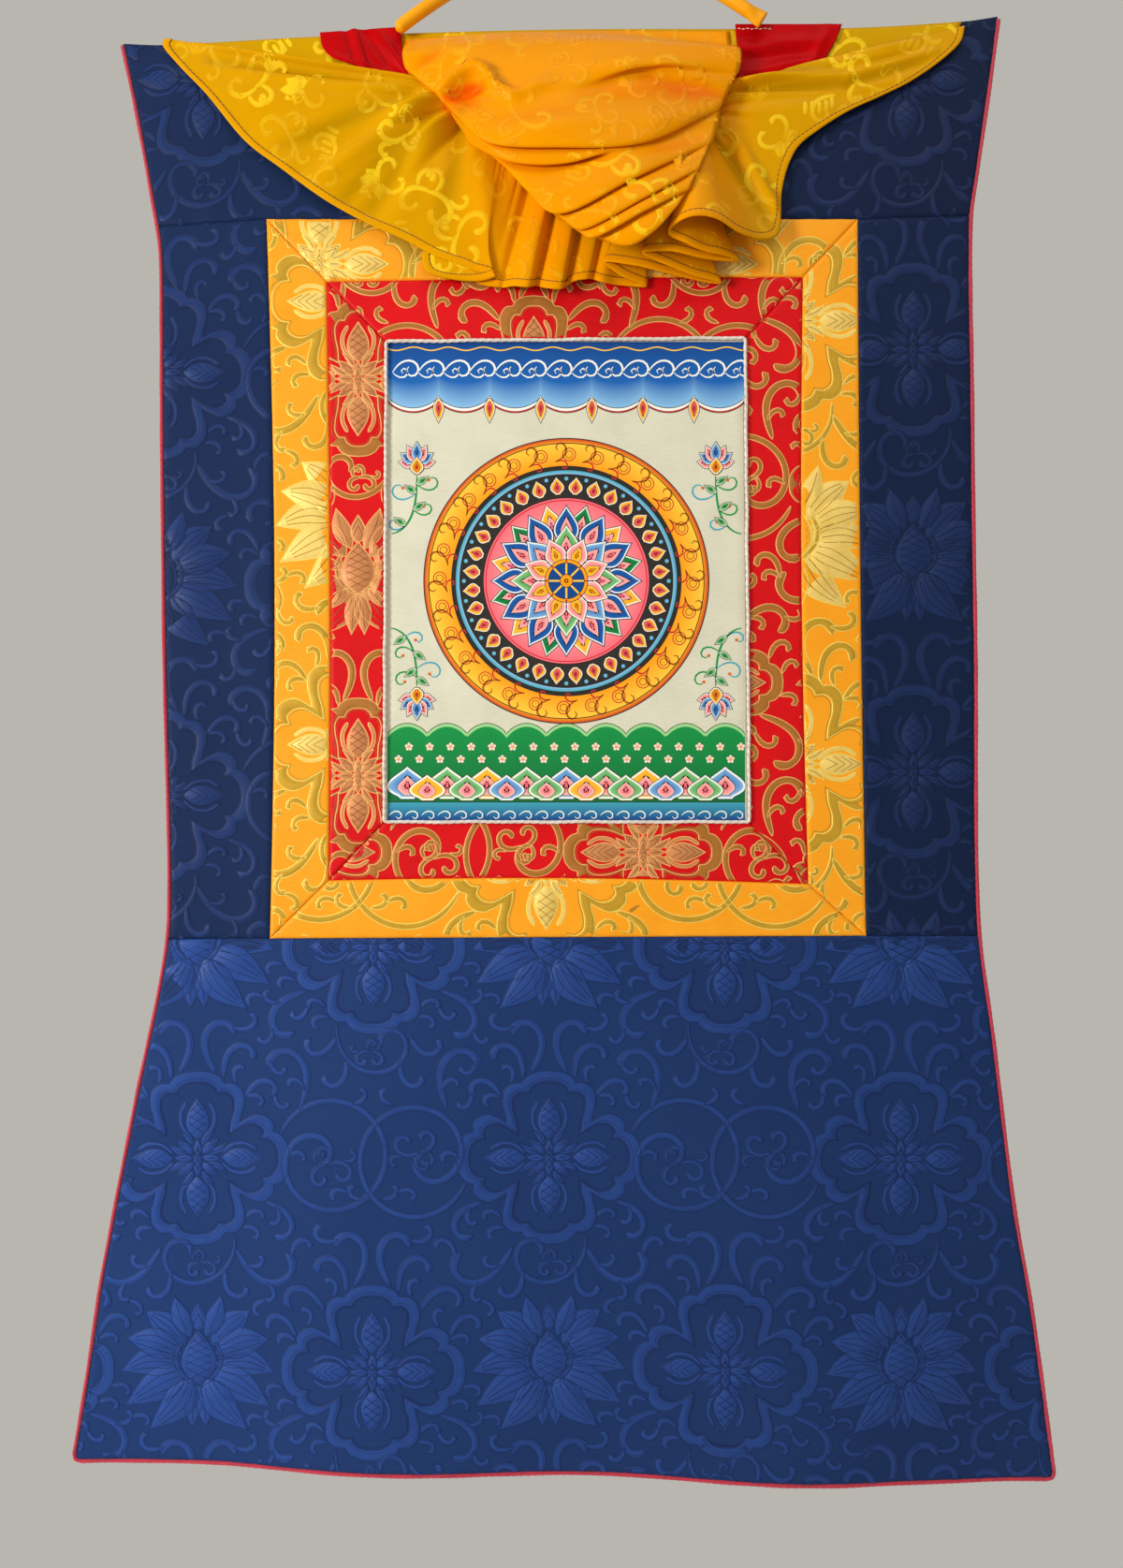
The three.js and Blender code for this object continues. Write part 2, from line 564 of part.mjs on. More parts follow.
// Row of [x, y, z] points along one festoon line, smooth through its five stations.
function festoonLine(row, count) {
  const stations = [row.left, row.low, row.middle, row.high, row.right];
  return Array.from({ length: count + 1 }, (_, j) => {
    const place = (j / count) * 4;
    const k = Math.min(Math.floor(place), 3);
    const near = [k - 1, k, k + 1, k + 2].map((i) => stations[Math.min(Math.max(i, 0), 4)]);
    const [x, z, out] = [0, 1, 2].map((n) => catmull(...near.map((p) => p[n]), place - k));
    return [x, -out, z];
  });
}

function festoonGrid() {
  const ACROSS_COUNT = 14;
  const lines = FESTOONS.map((row) => festoonLine(row, ACROSS_COUNT));
  const turn = (row, j) => {
    const share = j / ACROSS_COUNT;
    const start = row.from > 0 ? smoothStep(row.from - LIP_FADE, row.from + LIP_FADE, share) : 1;
    const end = row.to < 1 ? 1 - smoothStep(row.to - LIP_FADE, row.to + LIP_FADE, share) : 1;
    return start * end * Math.sin((Math.PI * (j + 0.7)) / (ACROSS_COUNT + 1.4));
  };
  const grid = lines.slice(0, CREASED_FROM);
  for (let i = CREASED_FROM; i < lines.length; i++) {
    const row = FESTOONS[i];
    grid.push(lines[i]);
    const under = lines[i].map(([x, y, z], j) => {
      const share = turn(row, j);
      const follow = i < lines.length - 1 ? mixPoint([x, y, z], lines[i + 1][j], 0.2 * (1 - share)) : [x, y, z];
      return [follow[0], follow[1] + TUCK.back * share, follow[2] + TUCK.rise * share];
    });
    grid.push(under);
    if (i === lines.length - 1) break;
    grid.push(under.map((p, j) => {
      const [x, y, z] = mixPoint(p, lines[i + 1][j], BELLY.at);
      return [x, y - BELLY.out * turn(FESTOONS[i + 1], j), z];
    }));
  }
  return grid;
}

// Lines from the gather to each fold of the hem, as a grid of [x, y, z] points.
function fallGrid() {
  const folds = VEIL_FALL.flatMap((part) => {
    const { hem, gatherFrom, gatherTo, gatherOut, outShare, late } = part;
    const [first, last] = [hem[0], hem[hem.length - 1]];
    return hem.map((fold, i) => {
      const share = i / (hem.length - 1);
      const [gx, gz] = mixPoint(gatherFrom, gatherTo, share);
      const point = [fold.x, -fold.out, fold.z];
      const chord = mixPoint([first.x, -first.out, first.z], [last.x, -last.out, last.z], share);
      const aim = late > 1 ? chord : point;
      return { gather: [gx, -(gatherOut + outShare * -aim[1]), gz], aim, point, late, swell: fold.swell };
    });
  });
  return FALL_STEPS.map((t) => folds.map(({ gather, aim, point, late, swell }) => {
    const opened = t ** late;
    const [x, y, z] = mixPoint(gather, aim, t).map((value, k) => value + (point[k] - aim[k]) * opened);
    return [x, y - swell * Math.sin(Math.PI * Math.sqrt(t)), z];
  }));
}

// Flat heading of the veil, sewn along the top edge behind the ribbons.
const HEADING = { out: 1.75, left: -286, right: 290, leftSlant: 0.8, rightSlant: 0.6 };
function headingGrid() {
  const COUNT = 16;
  return [1.5, 14, 27].map((drop) => Array.from({ length: COUNT + 1 }, (_, j) => {
    const x = mix(HEADING.left + HEADING.leftSlant * drop, HEADING.right - HEADING.rightSlant * drop, j / COUNT);
    return [x, -HEADING.out, topZ(x) - drop];
  }));
}

function asManifold(geometry) {
  const merged = mergeVertices(geometry, 1e-4);
  const vertProperties = new Float32Array(merged.attributes.position.array);
  const triVerts = new Uint32Array(merged.index.array);
  return new wasm.Manifold(new wasm.Mesh({ numProp: 3, vertProperties, triVerts }));
}

// Bunched silk inside a tie.
function bunch(x, out, z) {
  const ball = new THREE.SphereGeometry(1, 8, 6);
  ball.deleteAttribute('normal');
  ball.deleteAttribute('uv');
  ball.scale(6, 5, 11).translate(x, -out, z);
  return ball;
}

function addVeil() {
  const parts = [
    foldedSheet(headingGrid(), SILK_THICKNESS),
    foldedSheet(fallGrid(), SILK_THICKNESS),
    foldedSheet(festoonGrid(), SILK_THICKNESS),
    bunch(-92, 8, -46),
    bunch(112, 11, -54),
  ].map(asManifold);
  const mesh = parts.reduce((whole, next) => whole.add(next)).getMesh();
  const geometry = new THREE.BufferGeometry();
  geometry.setAttribute('position', new THREE.BufferAttribute(mesh.vertProperties, mesh.numProp));
  geometry.setIndex(new THREE.BufferAttribute(mesh.triVerts, 1));
  addPiece('veil', geometry, 'veil');
}

addPanelTop();
addSidePanels();
addPanelBottom();
addFrame('frame_yellow', YELLOW_OUTER, YELLOW_BOW, RED_OUTER, RED_BOW, 'yellowBrocade', 14);
addFrame('frame_red', RED_OUTER, RED_BOW, RED_INNER, CANVAS_BOW, 'redBrocade', 12);
addCanvas();
addEdging();
addPiping();
addStrap();
addRibbons();
addVeil();

export default hanging;
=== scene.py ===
"""Thangka scroll painting: a painted canvas in mitred brocade frames, on flared blue brocade,
under a raised silk veil, hung by a strap.

Tables are in millimetres and meshes in metres. +X is to the viewer's right, +Y goes into the wall
and +Z up. The origin is the middle of the top edge, and the painted front faces -Y.
"""

import itertools
import math

import bpy
import numpy as np
from mathutils.bvhtree import BVHTree
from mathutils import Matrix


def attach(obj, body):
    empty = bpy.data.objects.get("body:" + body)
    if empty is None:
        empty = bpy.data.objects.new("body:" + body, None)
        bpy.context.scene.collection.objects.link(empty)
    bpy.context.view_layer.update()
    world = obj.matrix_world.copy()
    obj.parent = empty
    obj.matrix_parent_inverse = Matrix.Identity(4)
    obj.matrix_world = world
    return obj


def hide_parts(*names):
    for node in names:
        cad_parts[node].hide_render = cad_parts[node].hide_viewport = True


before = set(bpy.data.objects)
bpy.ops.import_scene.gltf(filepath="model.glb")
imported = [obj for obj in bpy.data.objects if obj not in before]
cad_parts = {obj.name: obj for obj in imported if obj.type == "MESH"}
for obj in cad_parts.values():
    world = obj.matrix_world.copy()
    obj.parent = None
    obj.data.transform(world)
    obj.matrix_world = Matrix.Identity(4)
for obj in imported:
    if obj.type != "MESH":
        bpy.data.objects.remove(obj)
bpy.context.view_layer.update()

MM = 0.001
PANEL_THICKNESS = 1.6
CANVAS_THICKNESS = 1.2
PANEL_FRONT = PANEL_THICKNESS / 2
PIPING_RADIUS = 1.4
EDGING_RADIUS = 1.2
STRAP_RADIUS = 4.75

# ---- outline and seams, in millimetres ----

LEFT_EDGE = [  # height, left edge of the hanging with its piping
    (-11, -319.5), (-61, -309), (-127, -297), (-165, -291.5), (-317, -289.5), (-454, -288),
    (-640, -284.5), (-692, -291), (-772, -308), (-895, -332), (-988, -346.5), (-1037, -354.5),
]
RIGHT_EDGE = [
    (9, 318), (-44, 311), (-106, 302), (-140, 297.5), (-315, 298), (-454, 300),
    (-643, 302), (-731, 313), (-847, 328), (-946, 345), (-1052, 359.5),
]
TOP_EDGE = [  # along, height
    (-319.5, -11), (-286, -12), (-173, -6), (0, -1), (203, 0), (291, 5), (318, 9),
]
BOTTOM_EDGE = [
    (-354.5, -1037), (-259, -1040.5), (-152, -1044.5), (0, -1049.5), (214, -1053), (359.5, -1052),
]
YELLOW_OUTER = {"tl": (-213.5, -138), "tr": (214.5, -138), "br": (220.5, -656.5), "bl": (-211, -658.5)}
RED_OUTER = {"tl": (-170, -183.5), "tr": (174.5, -180), "br": (178.5, -619), "bl": (-168.5, -616.5)}
RED_INNER = {"tl": (-126.5, -227.5), "tr": (132.5, -225), "br": (135.5, -574), "bl": (-128, -574)}
YELLOW_BOW = {"left": 4.5, "right": 1, "top": 0, "bottom": 0}
RED_BOW = {"left": 2, "right": 3, "top": -1, "bottom": 3}
CANVAS_BOW = {"left": -0.5, "right": 0, "top": -0.5, "bottom": 0.5}
TOP_SEAM = [(-291, -143.5), YELLOW_OUTER["tl"], (0, -138), YELLOW_OUTER["tr"], (294.5, -135.5)]
LOW_SEAM = [(-286, -658.5), YELLOW_OUTER["bl"], (0, -657.5), YELLOW_OUTER["br"], (301, -656)]
EDGE_INSET = 2.3  # from the outline to the edge of the blue cloth, half under the piping
ENDS = np.array([0.0, 1.0])


def stacked(*parts):
    """Coordinates, each an array of its own, as one array of points."""
    return np.stack(np.broadcast_arrays(*parts), axis=-1)


def between(first, last, share):
    """What lies at a share of the way from the first to the last."""
    first, last = np.asarray(first, float), np.asarray(last, float)
    return first + (last - first) * share


def bell(value):
    """e^-(value^2)."""
    return np.exp(-(value**2))


def smooth_step(low, high, value):
    """0 below low, 1 above high, and 3t^2 - 2t^3 between."""
    t = np.clip((value - low) / (high - low), 0, 1)
    return t * t * (3 - 2 * t)


def smooth_column(rows):
    """Curve through (at, value) rows: cubic Hermite pieces, whose slope at a row is that of the
    chord between its neighbours."""
    at, value = np.array(sorted(rows), float).T
    last = len(at) - 1
    after = np.minimum(np.arange(last + 1) + 1, last)
    before = np.maximum(np.arange(last + 1) - 1, 0)
    slope = (value[after] - value[before]) / (at[after] - at[before])

    def curve(x):
        x = np.asarray(x, float)
        k = np.clip(np.searchsorted(at, x), 1, last)
        step = at[k] - at[k - 1]
        t = np.clip((x - at[k - 1]) / step, 0, 1)
        ends = (1 + 2 * t) * (1 - t) ** 2 * value[k - 1] + t * t * (3 - 2 * t) * value[k]
        return ends + t * (1 - t) * step * ((1 - t) * slope[k - 1] - t * slope[k])

    return curve


left_x, right_x = smooth_column(LEFT_EDGE), smooth_column(RIGHT_EDGE)
top_z, bottom_z = smooth_column(TOP_EDGE), smooth_column(BOTTOM_EDGE)

RIPPLE_LENGTH, RIPPLE_VALLEY, RIPPLE_DEPTH = 310, 20, 5.5
RIPPLE_FROM, RIPPLE_TO = 670, 1060  # how far down it grows
BUCKLE_Z, BUCKLE_WIDTH, BUCKLE_DEPTH = -907, 26, 1.8
CURL_FROM, CURL_TO, EDGE_CURL = 228, 300, 3  # how far to the sides they curl
CURL_START, CURL_FULL = 150, 260  # and how far down
SEAM_HEIGHTS = (-138, -657.5)
PUCKER_LENGTH, PUCKER_DEPTH, PUCKER_REACH = 23, 0.22, 11
PUCKER_STRAY, STRAY_LENGTH = 1.3, 31  # radians that they stray by, to and fro
CREASE_Z, CREASE_SLOPE, CREASE_WIDTH, CREASE_DEPTH = -1021, 0.02, 3, 0.5
CREASE_FROM, CREASE_FULL = -260, 60  # along the width, how it sets in


def cloth_y(x, z):
    """Middle of the mounting's cloth, off the wall: a long ripple that grows towards the hem, a
    buckle and a crease across the lower panel, free side edges that curl forward, and puckers
    along the two long seams."""
    lower = smooth_step(RIPPLE_FROM, RIPPLE_TO, -z)
    side = smooth_step(CURL_FROM, CURL_TO, np.abs(x)) * smooth_step(CURL_START, CURL_FULL, -z)
    ripple = RIPPLE_DEPTH * lower * np.cos(2 * np.pi * (x - RIPPLE_VALLEY) / RIPPLE_LENGTH)
    buckle = BUCKLE_DEPTH * lower * bell((z - BUCKLE_Z) / BUCKLE_WIDTH)
    crease = CREASE_DEPTH * bell((z - CREASE_Z + CREASE_SLOPE * x) / CREASE_WIDTH)
    crease = crease * smooth_step(CREASE_FROM, CREASE_FULL, x)
    seam = sum(bell((z - height) / PUCKER_REACH) for height in SEAM_HEIGHTS)
    stray = PUCKER_STRAY * np.sin(x / STRAY_LENGTH)
    pucker = PUCKER_DEPTH * seam * np.sin(2 * np.pi * x / PUCKER_LENGTH + stray)
    return ripple - buckle - crease - EDGE_CURL * side + pucker


# ---- meshes ----


def linear(hex_colour):
    """sRGB hex such as "#1c2a5c" to a linear colour."""
    parts = [int(hex_colour[i : i + 2], 16) / 255 for i in (1, 3, 5)]
    return np.array([c / 12.92 if c <= 0.04045 else ((c + 0.055) / 1.055) ** 2.4 for c in parts])


def rgba(hex_colour):
    """The linear colour as Blender's sockets hold it, opaque."""
    return (*linear(hex_colour), 1)


def mesh_object(name, points, faces, materials, slot, node=None, index=None, uv=None, colour=None):
    """Mesh piece from points in millimetres and one or more arrays of faces, in one or more
    materials. It may replace a CAD node, have a material index for each face, and have a UV pair in
    millimetres or a linear colour for each point. The slot is not used."""
    mesh = bpy.data.meshes.new(name)
    points = np.asarray(points, float).reshape(-1, 3)
    parts = faces if isinstance(faces, (list, tuple)) else [faces]
    sizes = np.concatenate([np.full(len(part), part.shape[1]) for part in parts])
    corners = np.concatenate([part.ravel() for part in parts])
    mesh.vertices.add(len(points))
    mesh.vertices.foreach_set("co", (points * MM).astype(np.float32).ravel())
    mesh.loops.add(len(corners))
    mesh.loops.foreach_set("vertex_index", corners)
    mesh.polygons.add(len(sizes))
    mesh.polygons.foreach_set("loop_start", np.cumsum(sizes) - sizes)
    mesh.polygons.foreach_set("use_smooth", np.ones(len(sizes), bool))
    for material in materials if isinstance(materials, (list, tuple)) else [materials]:
        mesh.materials.append(material)
    if index is not None:
        mesh.polygons.foreach_set("material_index", np.asarray(index))
    mesh.update(calc_edges=True)
    if uv is not None:
        layer = mesh.uv_layers.new(name="cloth")
        layer.data.foreach_set("uv", (np.asarray(uv, float)[corners] * MM).ravel())
    if colour is not None:
        layer = mesh.color_attributes.new("pigment_and_light", "FLOAT_COLOR", "POINT")
        layer.data.foreach_set("color", np.column_stack([colour, np.ones(len(points))]).ravel())
    piece = bpy.data.objects.new(name, mesh)
    bpy.context.scene.collection.objects.link(piece)
    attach(piece, "root")
    if node:
        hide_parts(node)
    return piece


def grid_faces(rows, cols, around=False):
    """Quads of a grid of rows by cols points, closed from its last column to its first if around."""
    i, j = np.meshgrid(np.arange(rows - 1), np.arange(cols if around else cols - 1), indexing="ij")
    a, b = i * cols + j, i * cols + (j + 1) % cols
    return stacked(a, b, b + cols, a + cols).reshape(-1, 4)


def rim_faces(rows, cols):
    """Quads that join the border of a grid to the same border of a second grid stored after it."""
    top, bottom = np.arange(cols), np.arange(cols) + (rows - 1) * cols
    left, right = np.arange(rows) * cols, np.arange(rows) * cols + cols - 1
    border = np.concatenate([bottom, right[::-1][1:], top[::-1][1:], left[1:]])
    a, b = border[:-1], border[1:]
    return stacked(a, b, b + rows * cols, a + rows * cols)


def joined(shapes):
    """Several shapes as one: their points, and a list of their arrays of faces."""
    all_points, all_faces, count = [], [], 0
    for points, faces in shapes:
        all_points.append(points)
        all_faces += [part + count for part in (faces if isinstance(faces, list) else [faces])]
        count += len(points)
    return np.concatenate(all_points), all_faces


def slab(front, back):
    """Closed sheet between two grids of points: front faces, back faces turned over, and a rim."""
    rows, cols = front.shape[:2]
    faces = grid_faces(rows, cols)
    points = np.concatenate([front.reshape(-1, 3), back.reshape(-1, 3)])
    return points, np.concatenate([faces[:, ::-1], faces + rows * cols, rim_faces(rows, cols)[:, ::-1]])


def unit(vectors):
    """Vectors scaled to length 1."""
    return vectors / np.maximum(np.linalg.norm(vectors, axis=-1, keepdims=True), 1e-9)


def grid_normals(grid):
    """Unit normals of a grid of points, from central differences across and down."""
    return unit(np.cross(np.gradient(grid, axis=1), np.gradient(grid, axis=0)))


def spline(points, per_span, closed=False):
    """Curve through the points: centripetal Catmull-Rom, per_span steps between two points. Works
    down the first axis of any array, so a grid is splined down all its columns at once."""
    p = np.asarray(points, float)
    if closed:
        p = np.concatenate([p[-1:], p, p[:2]])
    else:
        p = np.concatenate([2 * p[:1] - p[1:2], p, 2 * p[-1:] - p[-2:-1]])
    gap = np.maximum(np.linalg.norm(np.diff(p, axis=0), axis=-1, keepdims=True), 1e-6) ** 0.5
    t = (np.arange(per_span) / per_span).reshape((1, per_span) + (1,) * (p.ndim - 1))
    p0, p1, p2, p3 = (p[k : len(p) - 3 + k, None] for k in range(4))
    d0, d1, d2 = (gap[k : len(gap) - 2 + k, None] for k in range(3))
    m1 = (p2 - p1) + d1 * ((p1 - p0) / d0 - (p2 - p0) / (d0 + d1))
    m2 = (p2 - p1) + d1 * ((p3 - p2) / d2 - (p3 - p1) / (d1 + d2))
    curve = (
        (2 * t**3 - 3 * t**2 + 1) * p1 + (t**3 - 2 * t**2 + t) * m1
        + (3 * t**2 - 2 * t**3) * p2 + (t**3 - t**2) * m2
    )
    curve = curve.reshape((-1,) + p.shape[1:])
    return curve if closed else np.concatenate([curve, p[-2:-1]])


def lengths(points):
    """Length along a line of points, from 0 at its first, or down each column of a grid."""
    steps = np.linalg.norm(np.diff(points, axis=0), axis=-1)
    return np.concatenate([np.zeros_like(steps[:1]), np.cumsum(steps, axis=0)])


def resample(points, spacing):
    """The same line with its points an even distance apart, about spacing."""
    along = lengths(points)
    even = np.linspace(0, along[-1], max(int(round(along[-1] / spacing)), 2) + 1)
    return stacked(*(np.interp(even, along, column) for column in points.T))


def tube(path, radius, sides, closed=False, flatten=1.0):
    """Sleeve around a path that lies near the plane of the hanging: rings at radius(along, angle)
    from the path, squeezed in depth by flatten, and closed at its ends by their middles."""
    forward = np.roll(path, -1, 0) - np.roll(path, 1, 0)
    if not closed:
        forward[0], forward[-1] = path[1] - path[0], path[-1] - path[-2]
    forward = unit(forward)
    across = unit(np.cross(forward, [0.0, 1.0, 0.0]))
    depth = np.cross(across, forward)
    angle = np.linspace(0, 2 * np.pi, sides, endpoint=False)
    r = radius(lengths(path)[:, None], angle[None, :])
    flat = np.reshape(flatten, (-1, 1))
    rings = (
        path[:, None] + across[:, None] * (r * np.cos(angle))[..., None]
        + depth[:, None] * (r * flat * np.sin(angle))[..., None]
    )
    count = len(path) * sides
    faces = grid_faces(len(path), sides, around=True)
    j = np.arange(sides)
    after, last = (j + 1) % sides, count - sides
    if closed:
        return rings.reshape(-1, 3), np.concatenate([faces, stacked(last + j, last + after, after, j)])
    caps = np.concatenate([stacked(after, j, count), stacked(last + j, last + after, count + 1)])
    return np.concatenate([rings.reshape(-1, 3), path[[0, -1]]]), [faces, caps]


# ---- materials ----


def add_node(tree, kind, settings=None, links=None):
    """Node of a kind, with its properties and socket values, and with links into its sockets."""
    node = tree.nodes.new(kind)
    for key, value in (settings or {}).items():
        if isinstance(key, int) or key in node.inputs:
            node.inputs[key].default_value = value
        else:
            setattr(node, key, value)
    for key, source in (links or {}).items():
        tree.links.new(source, node.inputs[key])
    return node


def new_material(name, **principled):
    """Empty material with a Principled BSDF, whose sockets take the values given, with _ for a
    space. Returns the material, its tree and the BSDF."""
    material = bpy.data.materials.new(name)
    material.use_nodes = True
    tree = material.node_tree
    tree.nodes.clear()
    sockets = {key.replace("_", " "): value for key, value in principled.items()}
    bsdf = add_node(tree, "ShaderNodeBsdfPrincipled", sockets)
    add_node(tree, "ShaderNodeOutputMaterial", None, {"Surface": bsdf.outputs[0]})
    return material, tree, bsdf


WEAVE = 1.5  # from thread to thread: about three times as coarse as it is, to show at all
SLUB_DRAW = 14  # how many times finer a slub is across the weft than along it
MOTTLE_LOW, MOTTLE_HIGH = 0.72, 1.28  # sums of the two noises that show the ground alone, and the shade


def wave_scale(period):
    """Scale of a Wave texture whose bands repeat every period millimetres."""
    return 2 * math.pi / (20 * period * MM)


def woven(name, ground, shade, relief, thread=WEAVE, mottle=60, slub=9, on_cloth=False, tinted=False,
          **principled):
    """Woven cloth. Warp and weft show as two crossed waves, thread millimetres apart, that stand
    relief millimetres high, with slubs drawn out along the weft, and the dye runs from the ground
    colour to the shade in a soft mottle. Reads the UV map where on_cloth, else Object. Where
    tinted, the dye is multiplied by the mesh's own colour attribute, which holds the painted sheen
    and shade of the damask, and the veil's shot tone with its painted shade and highlight."""
    material, tree, bsdf = new_material(name, **principled)
    where = add_node(tree, "ShaderNodeTexCoord").outputs["UV" if on_cloth else "Object"]
    up = "Y" if on_cloth else "Z"
    soft = add_node(tree, "ShaderNodeTexNoise", {"Scale": 1000 / mottle, "Detail": 4.0}, {"Vector": where})
    drawn_out = (1, SLUB_DRAW, 1) if on_cloth else (1, 1, SLUB_DRAW)
    drawn = add_node(tree, "ShaderNodeMapping", {"Scale": drawn_out}, {"Vector": where}).outputs[0]
    slubs = add_node(tree, "ShaderNodeTexNoise", {"Scale": 1000 / slub, "Detail": 3.0}, {"Vector": drawn})
    both = {0: soft.outputs["Fac"], 1: slubs.outputs["Fac"]}
    total = add_node(tree, "ShaderNodeMath", {"operation": "ADD"}, both).outputs[0]
    ramp = add_node(
        tree, "ShaderNodeMapRange", {"From Min": MOTTLE_LOW, "From Max": MOTTLE_HIGH}, {"Value": total}
    )
    dyes = {"data_type": "RGBA", "A": rgba(ground), "B": rgba(shade)}
    colour = add_node(tree, "ShaderNodeMix", dyes, {"Factor": ramp.outputs[0]}).outputs["Result"]
    if tinted:
        pigment_and_light = add_node(tree, "ShaderNodeVertexColor", {"layer_name": "pigment_and_light"})
        mix = {"data_type": "RGBA", "blend_type": "MULTIPLY", "Factor": 1.0}
        both = {"A": colour, "B": pigment_and_light.outputs["Color"]}
        colour = add_node(tree, "ShaderNodeMix", mix, both).outputs["Result"]
    tree.links.new(colour, bsdf.inputs["Base Color"])
    wave = {"Scale": wave_scale(thread), "Distortion": 0.6, "Detail": 1.0}
    crossed = {
        k: add_node(
            tree, "ShaderNodeTexWave", {"bands_direction": axis, **wave}, {"Vector": where}
        ).outputs["Fac"]
        for k, axis in enumerate(("X", up))
    }
    weave = add_node(tree, "ShaderNodeMath", {"operation": "MULTIPLY"}, crossed).outputs[0]
    raised = {"Strength": 1.0, "Distance": relief * MM}
    bump = add_node(tree, "ShaderNodeBump", raised, {"Height": weave})
    tree.links.new(bump.outputs[0], bsdf.inputs["Normal"])
    return material


# Silk damask, ground side: matt navy in a soft mottle, made lighter or darker on each piece, and from left
# to right, by a painted sheen and shade of its own.
DAMASK = woven(
    "silk_damask_ground", "#173162", "#1c3769", 0.05, mottle=110, tinted=True,
    Roughness=0.6, Sheen_Weight=0.05, Sheen_Roughness=0.4,
    Sheen_Tint=rgba("#8fa4e6"), Specular_IOR_Level=0.12,
)
# Satin grounds of the frames: smooth, close and evenly dyed, with a low gloss.
YELLOW_SATIN = woven(
    "yellow_satin_ground", "#f2980e", "#f7a41e", 0.04, mottle=45,
    Roughness=0.5, Specular_IOR_Level=0.2,
)
RED_SATIN = woven(
    "red_satin_ground", "#da0a10", "#c8060e", 0.04, mottle=45,
    Roughness=0.5, Specular_IOR_Level=0.15,
)
# Cotton sized with chalk: off-white and dull, the weave still showing on its back.
CANVAS_GROUND = woven(
    "gessoed_cotton", "#dcd8c0", "#cfcbb2", 0.06, mottle=30, Roughness=0.8, Specular_IOR_Level=0.3
)
# Shot silk satin, its colour attribute holding its shot tone part by part as painted sheen, and painted
# shade in its folds' hollows, with a yellow gloss.
VEIL_SILK = woven(
    "veil_satin", "#ffffff", "#f4f4f0", 0.02, mottle=40, on_cloth=True, tinted=True,
    Roughness=0.36, Specular_IOR_Level=0.14, Specular_Tint=rgba("#ffd850"),
)
# Satins of the ribbons and the strap, glossier than the brocades.
RIBBON_SATIN = woven(
    "ribbon_satin", "#c00408", "#a6040a", 0.02, mottle=25,
    Roughness=0.36, Specular_IOR_Level=0.1, Specular_Tint=rgba("#ff7070"),
)
STRAP_CLOTH = woven(
    "strap_satin", "#f7a800", "#ef9a00", 0.03, mottle=20, Roughness=0.42, Specular_IOR_Level=0.18
)
# Cords in matt cotton, fuzzy at a low angle.
PIPING_CORD = woven(
    "covered_piping_cord", "#c41f3c", "#a8122c", 0.12, mottle=9, Roughness=0.7, Sheen_Weight=0.4
)
EDGING_CORD = woven(
    "twisted_cotton_cord", "#eae0d2", "#cbbfb0", 0.1, mottle=7, Roughness=0.85, Sheen_Weight=0.4
)


def threads(name, scroll, outline, inner, bloom, vein, **principled):
    """The five yarns of a brocade figure: the scrolls' floats, their edge cord, the finer cord
    inside them, the floats of flowers and buds, and the lines on those."""
    tones = {"scroll": scroll, "outline": outline, "inner": inner, "bloom": bloom, "vein": vein}
    return [
        woven(f"{name}_{part}", *colours, 0.05, thread=WEAVE * 0.7, mottle=14, slub=4, **principled)
        for part, colours in tones.items()
    ]


# The figure of the damask is the same silk, floated: a lighter sheen, with shadow beside its cords.
BLUE_THREADS = threads(
    "damask_float", ("#1c3b7c", "#214386"), ("#11295c", "#153064"), ("#0c1c4a", "#102256"),
    ("#1e3e82", "#24468a"), ("#0e2050", "#12265a"), tinted=True,
    Roughness=0.5, Sheen_Weight=0.08, Sheen_Roughness=0.4, Sheen_Tint=rgba("#8fa8f0"),
    Specular_IOR_Level=0.2,
)
# Gilt paper thread on the yellow satin: olive gold scrolls, and flowers in pale gold.
YELLOW_THREADS = threads(
    "olive_gilt_thread", ("#cc9e26", "#bb8f20"), ("#f8da6c", "#eac650"), ("#a07c14", "#aa861c"),
    ("#f2d276", "#e6c05c"), ("#b4862a", "#a67820"), Roughness=0.45, Metallic=0.2, Specular_IOR_Level=0.3,
)
# The veil's figure is its own silk, floated: these only shade the colour that lies under it, which carries
# a painted highlight.
VEIL_THREADS = threads(
    "veil_float", ("#ffffff", "#f8f8f2"), ("#fbf4ea", "#f4ece0"), ("#ece0d0", "#e6dac8"),
    ("#ffffff", "#f8f8f2"), ("#ece2d2", "#e6dccc"), tinted=True, Roughness=0.3, Specular_IOR_Level=0.2,
    Specular_Tint=rgba("#ffe880"),
)
# Copper thread on the red satin, edged and flowered in pale peach gold.
RED_THREADS = threads(
    "copper_gilt_thread", ("#b4742c", "#a66826"), ("#efb870", "#e2a45c"), ("#8e4e18", "#99581e"),
    ("#d08c54", "#c07846"), ("#94502a", "#864624"), Roughness=0.45, Metallic=0.2, Specular_IOR_Level=0.3,
)
# The yellow satin where it is rubbed, dull and brown, and the thread of the veil's hem.
RUBBED_SATIN = woven("rubbed_satin", "#a86a08", "#bd7c0e", 0.04, mottle=2, Roughness=0.7)
DARK_THREAD = woven("brown_sewing_thread", "#5a3408", "#6b4210", 0.05, mottle=8, Roughness=0.7)
# Ground minerals in glue: flat colour, each coat's own, with hardly any gloss.
PAINT, paint_tree, paint_surface = new_material("mineral_pigment", Roughness=0.72, Specular_IOR_Level=0.2)
coats = add_node(paint_tree, "ShaderNodeVertexColor", {"layer_name": "pigment_and_light"})
paint_tree.links.new(coats.outputs["Color"], paint_surface.inputs["Base Color"])


# ---- camera, light and floor ----

